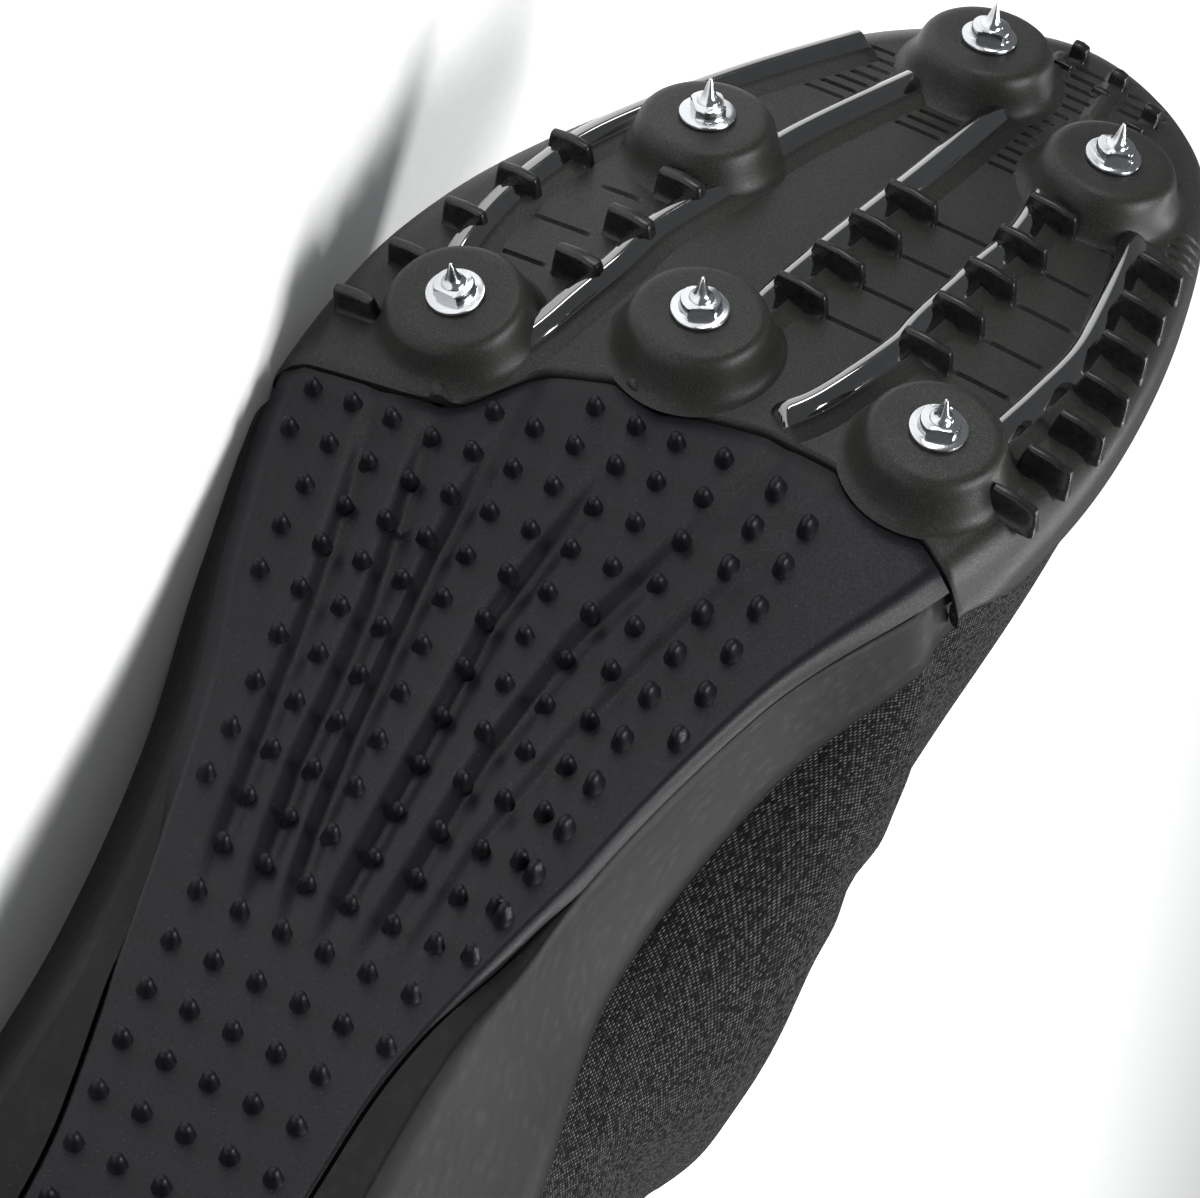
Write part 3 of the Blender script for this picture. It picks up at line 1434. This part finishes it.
    def skin(self) -> np.ndarray:
        """Draws the underside and the turned-up rims.

        Returns:
            Their points as one grid.
        """
        f, s = self.form, self.form.sizes
        x, y, arounds = self.base()
        around = np.linspace(0.24, 0.76, 1600)
        outline, out = f.edge(around), f.out(around)
        ahead = np.column_stack((-out[:, 1], out[:, 0]))
        rise = f.sole(around).rise * s.side_wall
        foot = f.wall(around, self.corner * 1.15 / rise)
        points = f.on_bottom(x, y)
        normals = f.bottom_normal(x, y)
        points = points + normals * self.relief(x, y)[..., None]
        for k in range(len(x)):
            place = np.column_stack((x[k], y[k]))
            gap = np.linalg.norm(place[:, None] - outline[None], axis=-1)
            near = gap.argmin(axis=1)
            offset = place - outline[near]
            depth = np.maximum(-np.sum(offset * out[near], -1), 0.0)
            slide = np.sum(offset * ahead[near], -1)[:, None] * ahead[near]
            bent = depth < self.corner
            t = np.clip(1 - depth / self.corner, 0, 1)[:, None]
            inner = outline[near] - out[near] * self.corner + slide
            start = f.on_bottom(inner[:, 0], inner[:, 1])
            turn = f.on_bottom(*(outline[near] + slide).T)
            end = foot[near] + np.column_stack((slide, 0 * slide[:, 0]))
            bezier = start * (1 - t) ** 2 + turn * 2 * t * (1 - t) + end * t**2
            cut = normals[k] * self.relief(x[k], y[k])[:, None]
            points[k][bent] = (bezier + cut * (1 - 0.5 * t))[bent]
        sides = []
        for around in arounds:
            rise = f.sole(around).rise * s.side_wall
            edge = f.edge(around)
            front = soft_step(0.0, s.rim_taper, edge[:, 0] - f.seam(edge[:, 1]))
            top = mix(s.rim_start, 1.0, front)
            low = self.corner * 1.15 / rise
            line = [f.wall(around, mix(low, top, h)) for h in np.linspace(0.12, 0.96, 8)]
            line.append(f.wall(around, top, 0.12 * MM))
            line.append(f.wall(around, top, 0.9 * MM) + UP * 0.08 * MM)
            line.append(f.wall(around, top - 0.02, s.rim_wall))
            line.append(f.wall(around, mix(low, top, 0.7), s.rim_wall))
            sides.append(np.stack(line, 1))
        grid = np.concatenate((sides[0][:, ::-1], points, sides[1]), 1)
        for lift, row in ((0.45 * MM, 0), (0.12 * MM, 1)):
            grid[row] += UP * lift
        skirt = grid[:1] + UP * (s.layer - 0.8 * MM)
        return np.concatenate((skirt, grid), 0)

    def boss(self, maker: MeshMaker, along: float, across: float) -> None:
        """Adds one round boss that blends into the underside.

        Args:
            maker: the mesh that it joins.
            along: share of the length.
            across: share of the ball width.
        """
        origin, axes = self.form.seat(along, across)
        profile = np.array((
            (0.0, 6.0), (3.2, 6.0), (5.6, 6.0), (7.2, 5.98), (7.9, 5.92), (8.4, 5.74),
            (8.8, 5.42), (9.1, 5.0), (9.35, 4.4), (9.58, 3.6), (9.8, 2.8), (10.05, 2.0),
            (10.35, 1.3), (10.7, 0.75), (11.1, 0.35), (11.6, 0.08), (12.1, -0.12),
        )) * MM
        turn = np.linspace(0, 2 * np.pi, 72, endpoint=False)
        radius, height = profile[:, :1], profile[:, 1:]
        flat = np.stack(
            np.broadcast_arrays(radius * np.cos(turn), radius * np.sin(turn), height), -1
        )
        stood = origin + flat @ axes.T
        foot = origin + (flat * np.array((1, 1, 0))) @ axes.T
        low = self.form.on_bottom(foot[..., 0], foot[..., 1])
        low = low + axes[:, 2] * height[..., None]
        share = soft_step(9.6 * MM, 11.4 * MM, radius)[..., None]
        maker.grid(mix(stood, low, share), loop=True, inside=origin)

    def rib(self, maker: MeshMaker, path: tuple) -> None:
        """Adds one glossy rib with a satin ramp along its medial side.

        Args:
            maker: the mesh that it joins.
            path: its bends, as shares of the length and of the ball width.
        """
        s = self.form.sizes
        line = catmull(np.array(path), 16) * np.array((s.length, s.ball_width))
        ahead = unit(np.gradient(line, axis=0))
        side = np.column_stack((-ahead[:, 1], ahead[:, 0])) * -1
        side = side * np.sign(side[:, 1:] + 1e-9)
        section = np.array((
            (-2.25, -0.15), (-2.1, 0.02), (-2.0, 0.55), (-1.8, 1.1), (-1.48, 1.58),
            (-1.05, 1.93), (-0.55, 2.12), (-0.02, 2.16), (0.5, 2.05), (1.0, 1.8), (1.42, 1.46),
            (1.8, 1.08), (2.0, 0.84), (2.8, 0.55), (3.6, 0.27), (4.3, 0.05), (4.7, -0.1),
        )) * MM
        offsets, heights = section.T
        steps = np.linalg.norm(np.diff(line, axis=0), axis=-1)
        reach = np.concatenate(([0.0], np.cumsum(steps)))
        ends = np.minimum(reach, reach[-1] - reach)
        taper = np.sqrt(1 - (1 - np.clip(ends / (1.5 * MM), 0, 1)) ** 2)[:, None]
        x = line[:, :1] + side[:, :1] * offsets * mix(0.7, 1.0, taper)
        y = line[:, 1:] + side[:, 1:] * offsets * mix(0.7, 1.0, taper)
        lift = heights[None] * taper - 0.12 * MM * (1 - taper)
        grid = self.form.on_bottom(x, y) + self.form.bottom_normal(x, y) * lift[..., None]
        marks = np.array([1] * 12 + [0] * 4)
        maker.grid(grid, inside=(line[:, 0].mean(), line[:, 1].mean(), 0.05), finish=marks)

    def block(self, maker: MeshMaker, x: float, y: float, size: tuple, finish: int) -> None:
        """Adds one upright block with soft edges and a sloped outer end.

        Args:
            maker: the mesh that it joins.
            x: place along.
            y: place across.
            size: width, height and thickness.
            finish: number of its finish.
        """
        width, height, thick = size
        origin, axes = self.form.stand(x, y)
        turn = np.linspace(0, 2 * np.pi, 32, endpoint=False)
        c, d = np.cos(turn), np.sin(turn)
        along = np.sign(c) * np.abs(c) ** 0.35
        across = np.sign(d) * np.abs(d) ** 0.35
        rows = []
        for level, broad, deep in (
            (-0.2, 1.06, 1.9), (0.0, 1.02, 1.6), (0.06, 1.0, 1.3), (0.3, 0.98, 1.14),
            (0.6, 0.94, 1.03), (0.84, 0.89, 0.96), (0.93, 0.86, 0.86), (0.98, 0.83, 0.66),
            (1.0, 0.80, 0.35), (1.0, 0.78, 0.02),
        ):
            slant = -0.16 * height * (across < 0) * level * np.abs(across)
            rows.append(np.stack((
                along * thick / 2 * deep,
                across * width / 2 * broad,
                height * level + slant,
            ), -1))
        grid = origin + np.array(rows) @ axes.T
        maker.grid(grid, loop=True, inside=origin, finish=finish)

    def build(self, plastic: Material, gloss: Material, blade: Material) -> None:
        """Builds the plate with everything that is moulded on it.

        Args:
            plastic: finish of the plate and the bosses.
            gloss: finish of the ribs.
            blade: finish of the blades and pegs.
        """
        s = self.form.sizes
        maker = MeshMaker(self.form)
        maker.grid(self.skin(), inside=(0.23, 0.0, 0.06))
        for _, along, across, _ in BOSS_ROWS:
            self.boss(maker, along, across)
        for path in self.ribs:
            self.rib(maker, path)
        for count, first, last, width, height, thick in self.blades:
            for share in np.linspace(0, 1, count):
                x = mix(first[0], last[0], share) * s.length
                y = mix(first[1], last[1], share) * s.ball_width
                self.block(maker, x, y, (width, height, thick), 2)
        peg = self.peg_size
        for along, across in self.pegs:
            x, y = along * s.length, across * s.ball_width
            self.block(maker, x, y, (peg, peg * 0.9, peg * 0.7), 2)
            self.block(maker, x - 3.6 * MM, y - 0.8 * MM, (peg * 1.1, peg * 0.35, peg * 0.4), 2)
        item = maker.build("plate_moulding", [plastic, gloss, blade], sharp=50.0)
        settle(item, "plate_plastic", "spike_plate")


@dataclass
class RubberPad:
    """Rubber pad from the seam to the heel, with flutes and conical nubs."""

    form: ShoeForm
    rows: int = 150
    columns: int = 90
    flute_depth: float = 1.5 * MM
    flute_half: float = 1.5 * MM
    column_pitch: float = 5.9 * MM
    first_column: float = -45.0 * MM
    columns_of_nubs: int = 12
    nub_turn: float = 141.0 * MM
    drift_behind: float = 0.19
    drift_ahead: float = 0.1
    edge_radius: float = 0.9 * MM

    # Middle line of each flute, heel end first: along and across in millimetres
    flutes: tuple = (
        ((84, -15.5), (105, -21.5), (120, -25.7), (135, -29.5), (150, -34.0), (168, -40.0)),
        ((84, -9.5), (92, -11.7), (110, -17.0), (124, -19.8), (138, -22.8), (168, -31.5)),
        ((84, -4.0), (91, -6.5), (103, -10.2), (118, -14.0), (132, -16.8), (147, -19.3),
         (172, -22.0)),
        ((84, 0.5), (95, -1.6), (108, -3.7), (120, -5.4), (142, -8.0), (173, -6.0)),
        ((84, 5.2), (97, 4.4), (114, 2.5), (124, 1.8), (144, 2.5), (178, 10.8)),
        ((84, 10.0), (97, 9.3), (112, 8.0), (130, 9.0), (150, 12.5), (178, 21.0)),
    )

    flute_strengths: tuple = (0.75, 1.0, 1.0, 1.0, 0.8, 0.4)

    # Rows of nubs along the shoe, in millimetres
    nub_rows: tuple = (
        16.0, 23.5, 31.0, 38.5, 46.0, 53.5, 61.0, 68.5, 76.2, 84.6, 93.0, 101.4, 109.6,
        117.8, 125.8, 133.6, 141.1, 148.1, 155.2, 162.2, 168.8, 175.2,
    )

    def flute(self, x: Number, y: Number) -> np.ndarray:
        """Soft flutes that fan out from the waist.

        Args:
            x: places along.
            y: places across.

        Returns:
            Their depth, from 0 to 1.
        """
        depth = np.zeros(np.broadcast(x, y).shape)
        for row, strength in zip(self.flutes, self.flute_strengths):
            line = np.array(row) * MM
            aside = y - np.interp(x, line[:, 0], line[:, 1])
            depth = np.maximum(depth, strength * np.exp(-((aside / self.flute_half) ** 2)))
        front = 1 - 0.75 * soft_step(148 * MM, 172 * MM, x)
        return depth * soft_step(80 * MM, 100 * MM, x) * front

    def edges(self) -> tuple:
        """Finds where each row of the pad starts and ends.

        Returns:
            The low and high ends of the rows, of the lateral and then of the medial side.
        """
        f, s = self.form, self.form.sizes
        t = np.linspace(0, 1, self.rows)
        ends = []
        for start, finish in zip(f.seam_ends(-s.clearance), (0.0, 1.0)):
            around = mix(start, finish, t)
            inset = np.maximum(f.sole(around).inset, 0.0)[:, None] * s.ball_width
            out = f.out3(around)
            flush = 1 - soft_step(0.0, 0.8 * MM, inset[:, 0])
            low = f.wall(around, 0.0) - out * inset
            share = s.layer / (f.sole(around).rise * s.side_wall)
            high = f.wall(around, share * flush) - out * inset
            high[:, 2] = f.bottom(high[:, 0], high[:, 1]) + s.layer
            ends.append((low, high))
        return ends

    def skin(self) -> np.ndarray:
        """Draws the underside with rounded edges, and its sides.

        Returns:
            Their points as one grid.
        """
        f, s = self.form, self.form.sizes
        (low_l, high_l), (low_r, high_r) = self.edges()
        share = np.linspace(0, 1, self.columns)[None, :, None]
        grid = mix(low_l[:, None], low_r[:, None], share)
        shift = f.seam(grid[0, :, 1]) - s.clearance - grid[0, :, 0]
        fade = np.maximum(0.0, 1 - np.arange(self.rows) / (0.5 * self.rows))[:, None]
        grid[..., 0] += shift[None] * fade
        x, y = grid[..., 0], grid[..., 1]
        reach = np.linalg.norm(low_r - low_l, axis=-1)[:, None]
        gap = reach * np.minimum(share, 1 - share)[..., 0]
        near = 1 - np.clip(gap / self.edge_radius, 0, 1)
        edge = self.edge_radius * (1 - np.sqrt(1 - 0.98 * near**2))
        grid[..., 2] = f.bottom(x, y) + self.flute_depth * self.flute(x, y) * (near < 1) + edge
        for lift, row in ((0.5 * MM, 0), (0.15 * MM, 1)):
            grid[row, :, 2] += lift
        grid = np.concatenate((high_l[:, None], grid, high_r[:, None]), 1)
        skirt = grid[:1] + UP * (s.layer - 0.8 * MM)
        return np.concatenate((skirt, grid), 0)

    def nubs(self, maker: MeshMaker) -> None:
        """Adds the conical nubs in staggered rows over the whole pad.

        Args:
            maker: the mesh that they join.
        """
        f, s = self.form, self.form.sizes
        around = np.linspace(0, 1, 1800)
        inset = np.maximum(f.sole(around).inset, 0.0)[:, None] * s.ball_width
        outline = f.edge(around) - f.out(around) * inset
        profile = np.array((
            (1.5, -0.4), (1.25, 0.1), (1.08, 0.6), (0.92, 1.2), (0.78, 1.7), (0.55, 2.05),
            (0.28, 2.2), (0.0, 2.25),
        )) * MM
        turn = np.linspace(0, 2 * np.pi, 12, endpoint=False)
        for x in np.array(self.nub_rows) * MM:
            behind = outline[np.abs(outline[:, 0] - x) < 2.5 * MM, 1]
            for k in range(self.columns_of_nubs):
                y = self.first_column + k * self.column_pitch
                ahead = x - self.nub_turn
                drift = -ahead * (self.drift_behind if ahead < 0 else self.drift_ahead)
                medial = soft_step(6 * MM, 13 * MM, y)
                y = y + drift * (1 - 0.75 * medial)
                place = x + 3.6 * MM * (k % 2) * medial
                far = np.linalg.norm(outline - np.array((place, y)), axis=-1).min()
                if not behind.min() < y < behind.max() or far < 2.2 * MM:
                    continue
                if place > f.seam(y) - 3.4 * MM:
                    continue
                tall = mix(1.0, 1.2, medial)
                long = mix(1.0, 1.5, medial * soft_step(90 * MM, 110 * MM, x))
                origin, axes = f.stand(place, y)
                origin = origin + UP * self.flute_depth * self.flute(place, y)
                lean = profile[:, 1:] * -0.25 * (long - 1)
                flat = np.stack(np.broadcast_arrays(
                    profile[:, :1] * np.cos(turn) * long + lean,
                    profile[:, :1] * np.sin(turn), profile[:, 1:] * tall,
                ), -1)
                maker.grid(origin + flat @ axes.T, loop=True, inside=origin)

    def build(self, rubber: Material) -> None:
        """Builds the pad with its nubs.

        Args:
            rubber: its finish.
        """
        maker = MeshMaker(self.form)
        maker.grid(self.skin(), inside=(0.1, 0.0, 0.06))
        self.nubs(maker)
        settle(maker.build("waist_pad", [rubber], sharp=60.0), "pad_rubber", "rubber_pad")


@dataclass
class ScrewedSpike:
    """Steel spike with a round flange, two wrench flats, a step and a needle."""

    form: ShoeForm
    segments: int = 72
    flat_half: float = 2.1 * MM

    def build(
        self, name: str, along: float, across: float, turn: float, steel: Material
    ) -> None:
        """Builds one spike on its boss.

        Args:
            name: the boss's name.
            along: share of the length.
            across: share of the ball width.
            turn: degrees of the wrench flats about the spike.
            steel: its finish.
        """
        s = self.form.sizes
        profile = np.array((
            (0.0, 0.0), (3.6, 0.0), (3.82, 0.06), (3.9, 0.2), (3.9, 0.46), (3.82, 0.62),
            (3.6, 0.7), (2.95, 0.74), (2.85, 0.78), (2.75, 0.95), (2.7, 1.2), (2.7, 2.0),
            (2.62, 2.22), (2.4, 2.34), (1.75, 2.36), (1.62, 2.42), (1.58, 2.6), (1.45, 2.8),
            (1.2, 2.95), (1.05, 3.15), (0.92, 3.5), (0.72, 4.2), (0.5, 5.0), (0.32, 5.6),
            (0.2, 5.9), (0.0, 5.98),
        )) * MM
        angle = np.linspace(0, 2 * np.pi, self.segments, endpoint=False)
        radius = profile[:, :1] + 0 * angle
        wrench = (profile[:, 1:] > 0.76 * MM) & (profile[:, 1:] < 2.35 * MM)
        limit = self.flat_half / np.maximum(np.abs(np.cos(angle)), 0.02)
        radius = np.where(wrench, np.minimum(radius, limit), radius)
        origin, axes = self.form.seat(along, across, turn)
        origin = origin + axes[:, 2] * (s.boss_height + s.clearance * 0.2)
        flat = np.stack(np.broadcast_arrays(
            radius * np.cos(angle), radius * np.sin(angle), profile[:, 1:]
        ), -1)
        maker = MeshMaker(self.form)
        maker.grid(origin + flat @ axes.T, loop=True, inside=origin + axes[:, 2] * MM)
        settle(maker.build(f"pin_{name}", [steel], sharp=28.0), "steel", f"spike_{name}")


@dataclass
class Insole:
    """Thin footbed with soft edges on the carrier's floor."""

    form: ShoeForm
    stations: int = 120
    thickness: float = 3.0 * MM

    def build(self, cloth: Material) -> None:
        """Builds the footbed.

        Args:
            cloth: its finish.
        """
        f, s = self.form, self.form.sizes
        half = np.linspace(0.0, 0.5, self.stations)
        inside = s.upper_wall + s.soft_gap
        ends = [f.wall(a, 1.0, f.lip_inset(a) + inside) for a in (half, 1 - half)]
        ends = [end - UP * s.lip_depth for end in ends]
        line = []
        for share, level in (
            (0.0, 0.5), (0.0, 0.8), (0.01, 0.95), (0.03, 1.0), (0.15, 1.0), (0.3, 1.0),
            (0.5, 1.0), (0.7, 1.0), (0.85, 1.0), (0.97, 1.0), (0.99, 0.95), (1.0, 0.8),
            (1.0, 0.5), (1.0, 0.0), (0.75, 0.0), (0.5, 0.0), (0.25, 0.0), (0.0, 0.0),
        ):
            place = mix(ends[0], ends[1], share)
            cup = s.footbed_cup * (1 - (2 * share - 1) ** 2)
            line.append(place + UP * (self.thickness * level - cup))
        maker = MeshMaker(f)
        maker.grid(np.stack(line, 1), loop=True, inside=(0.14, 0.0, 0.022))
        settle(maker.build("footbed", [cloth], sharp=60.0), "footbed", "insole")


@dataclass
class Tongue:
    """Padded flap under the lacing, with sewn channels."""

    form: ShoeForm
    thickness: float = 3.6 * MM
    rise: float = 17 * MM
    narrow: float = 0.8
    half_width: float = 1.17
    columns: int = 44

    def build(self, knit: Material) -> None:
        """Builds the flap.

        Args:
            knit: its finish.
        """
        f, s = self.form, self.form.sizes
        sink = s.upper_wall + s.soft_gap + self.thickness / 2
        place = np.linspace(-1, 1, self.columns)
        place = np.sign(place) * (1 - (1 - np.abs(place)) ** 1.4) * self.half_width
        full = (1 - np.abs(place / self.half_width) ** 8) ** 0.5
        channel = 1 - 0.10 * np.abs(np.sin(place * np.pi * 2.2)) ** 6
        rows = []
        for step in np.linspace(1, 0, 18)[:-1]:
            narrow = self.narrow * math.sqrt(1 - 0.8 * step**4)
            lift = np.array((-0.55 - 0.25 * step, 0, 0.78)) * self.rise * step
            rows.append((THROAT_TOP, narrow, lift, math.sqrt(1 - step**10)))
        for around in np.linspace(THROAT_TOP, 0.5, 70):
            steps = (around - THROAT_TOP) * s.stations
            rows.append((around, mix(self.narrow, 1.0, soft_step(0, 2, steps)), 0 * UP, 1.0))
        grid = []
        for around, narrow, lift, whole in rows:
            half = self.thickness / 2 * full * channel * max(whole, 0.02)
            outer = f.throat(around, place * narrow, sink - half) + lift
            inner = f.throat(around, place * narrow, sink + half) + lift
            grid.append(np.concatenate((outer, inner[::-1])))
        maker = MeshMaker(f)
        maker.grid(np.array(grid), loop=True, inside=np.mean(grid, axis=(0, 1)))
        item = maker.build("tongue_flap", [knit], sharp=None)
        settle(item, "knit", "tongue")


@dataclass
class Lacing:
    """Welded eyestay with its eyelets, and the flat lace that runs through them."""

    form: ShoeForm
    pairs: int = 5
    share: float = 0.91
    half_wide: float = 1.75 * MM
    half_thick: float = 0.85 * MM
    stay: float = 1.0 * MM
    stay_steps: int = 240
    ring_radius: float = 2.5 * MM
    cup_profile: tuple = ((2.3, 0.12), (1.7, 0.05), (0.0, 0.03))

    def places(self) -> np.ndarray:
        """Places round the shoe of the lateral eyelets, top one first."""
        return np.linspace(THROAT_TOP + 0.02, 0.5 - 0.045, self.pairs)

    def build_stay(self, film: Material, ring: Material) -> None:
        """Builds the overlay and the ring of each eyelet.

        Args:
            film: finish of the overlay.
            ring: finish of the rings.
        """
        f, s = self.form, self.form.sizes
        count = self.stay_steps
        around = np.linspace(THROAT_TOP + 0.012, 1 - THROAT_TOP - 0.012, count)
        ease = np.minimum(np.arange(count), count - 1 - np.arange(count))
        ease = np.sqrt(1 - (1 - np.clip(ease / 3, 0, 1)) ** 2)
        t = np.linspace(0, 1, 18)
        share = mix(0.80, 0.975, t)
        full = (1 - np.abs(2 * t - 1) ** 10) ** 0.5
        high = s.clearance + self.stay * full[None] * mix(0.05, 1.0, ease[:, None])
        outer = f.on_upper(around[:, None], share[None], high)
        low = f.on_upper(around[:, None], share[None], np.full(high.shape, s.clearance))
        maker = MeshMaker(f)
        maker.grid(np.concatenate((outer, low[:, ::-1]), 1), loop=True, inside=(0.13, 0, 0.03))
        turn = np.linspace(0, 2 * np.pi, 28, endpoint=False)
        for side in np.concatenate((self.places(), 1 - self.places())):
            centre = f.on_upper(side, self.share, s.clearance + self.stay)
            normal = f.upper_normal(side, self.share)
            first = unit(np.cross(normal, UP))
            second = np.cross(normal, first)
            spoke = np.cos(turn)[:, None] * first + np.sin(turn)[:, None] * second
            path = centre + spoke * self.ring_radius
            normals = np.tile(normal, (28, 1))
            maker.tube(path, normals, 0.55 * MM, 0.4 * MM, ring=True, finish=1, sides=8)
            cup = np.stack([
                centre + spoke * reach + normal * level
                for reach, level in np.array(self.cup_profile) * MM
            ], 0)
            maker.grid(cup, loop=True, inside=centre - normal * 5 * MM, finish=1)
        settle(maker.build("eyestay_overlay", [film, ring], sharp=60.0), "film", "eyestay")

    def build_lace(self, cord: Material) -> None:
        """Builds the crossing runs and the front bar of the lace.

        Args:
            cord: its finish.
        """
        f, s = self.form, self.form.sizes
        maker = MeshMaker(f)
        t = np.linspace(0, 1, 56)
        places = self.places()
        over = s.clearance + self.stay + self.half_thick + 0.35 * MM
        runs = []
        for row in range(self.pairs - 1):
            for side in (-1, 1):
                runs.append((places[row], places[row + 1], side, 1.5 * MM * (side > 0)))
        runs.append((places[-1], places[-1], -1, 0.0))
        for begin, finish, side, raised in runs:
            reach = 1 + (1 - self.share)
            across = mix(side * reach, -side * reach, t)
            around = mix(begin, finish, t)
            dive = soft_step(0.0, 0.085, np.minimum(t, 1 - t))
            level = mix(-0.4 * MM, over, dive) + raised * np.sin(np.pi * t) ** 2
            path = f.throat(around, across, -level)
            lifted = f.throat(around, across, -level - 1 * MM)
            maker.tube(path, lifted - path, self.half_wide, self.half_thick, sides=14)
        settle(maker.build("flat_lace", [cord], sharp=None), "cord", "lace")


@dataclass
class Studio:
    """Pale floor, soft lights and the camera."""

    form: ShoeForm
    lens: float = 174.0
    sensor: float = 36.0
    floor_half: float = 8.0
    sky: tuple = (0.93, 0.97, 1.0, 1)
    sky_strength: float = 0.20
    place: tuple = (-0.2584, 0.2010, -0.5589)
    axes: tuple = (
        (0.488, 0.6655, -0.5647), (0.8716, -0.4055, 0.2753), (-0.0458, -0.6266, -0.778),
    )

    def floor(self, material: Material) -> None:
        """Lays the floor under the shoe.

        Args:
            material: its finish.
        """
        mesh = bpy.data.meshes.new("studio_floor")
        side = self.floor_half
        corners = [(-side, -side, 0), (side, -side, 0), (side, side, 0), (-side, side, 0)]
        mesh.from_pydata(corners, [], [(0, 1, 2, 3)])
        mesh.materials.append(material)
        item = bpy.data.objects.new("studio_floor", mesh)
        bpy.context.scene.collection.objects.link(item)

    def light(self, name: str, place: tuple, size: tuple, power: float) -> None:
        """Hangs one soft rectangular light that faces the shoe.

        Args:
            name: its name.
            place: where it hangs.
            size: its two sides.
            power: in watts.
        """
        lamp = bpy.data.lights.new(name, "AREA")
        lamp.shape = "RECTANGLE"
        lamp.size, lamp.size_y = size
        lamp.energy = power
        item = bpy.data.objects.new(name, lamp)
        item.location = place
        aim = Vector((0.0, 0.0, 0.05)) - Vector(place)
        item.rotation_euler = aim.to_track_quat("-Z", "Y").to_euler()
        bpy.context.scene.collection.objects.link(item)

    def camera(self) -> None:
        """Places the camera at the photograph's angle to the shoe."""
        lens = bpy.data.cameras.new("camera")
        lens.lens = self.lens
        lens.sensor_width = self.sensor
        item = bpy.data.objects.new("camera", lens)
        axes = self.form.turn @ np.array(self.axes)
        frame_matrix = Matrix([list(map(float, row)) for row in axes]).to_4x4()
        spot = self.form.turn @ np.array(self.place) + self.form.shift
        frame_matrix.translation = Vector([float(v) for v in spot])
        item.matrix_world = frame_matrix
        bpy.context.scene.collection.objects.link(item)
        bpy.context.scene.camera = item

    def build(self, material: Material) -> None:
        """Sets up the whole studio.

        Args:
            material: finish of the floor.
        """
        self.floor(material)
        bpy.context.scene.view_settings.view_transform = "Standard"
        world = bpy.data.worlds.new("studio")
        bpy.context.scene.world = world
        world.use_nodes = True
        glow = world.node_tree.nodes["Background"].inputs
        glow[0].default_value = self.sky
        glow[1].default_value = self.sky_strength
        self.light("top_softbox", (0.12, -0.15, 1.15), (0.8, 0.5), 19.0)
        self.light("low_strip", (-0.55, -1.1, 0.22), (0.9, 0.12), 4.0)
        self.light("back_strip", (-0.30, 0.60, 1.0), (1.2, 0.14), 10.0)
        self.camera()


def main() -> None:
    """Builds the shoe's pieces in order."""
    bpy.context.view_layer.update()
    form = ShoeForm(ShoeSizes())
    library = EffectLibrary()
    finishes = FinishSet()
    names = [item.name for item in fields(finishes)]
    made = {name: getattr(finishes, name).material(library) for name in names}
    UpperShell(form).build(made["knit"], made["hem"])
    Midsole(form).build(made["foam"])
    SpikePlate(form).build(made["plate"], made["gloss"], made["blade"])
    RubberPad(form).build(made["rubber"])
    for name, along, across, turn in BOSS_ROWS:
        ScrewedSpike(form).build(name, along, across, turn, made["steel"])
    Insole(form).build(made["cloth"])
    Tongue(form).build(made["knit"])
    lacing = Lacing(form)
    lacing.build_stay(made["film"], made["ring"])
    lacing.build_lace(made["cord"])
    Studio(form).build(made["floor"])


if __name__ == "__main__":
    logging.basicConfig(level=logging.INFO)
    main()
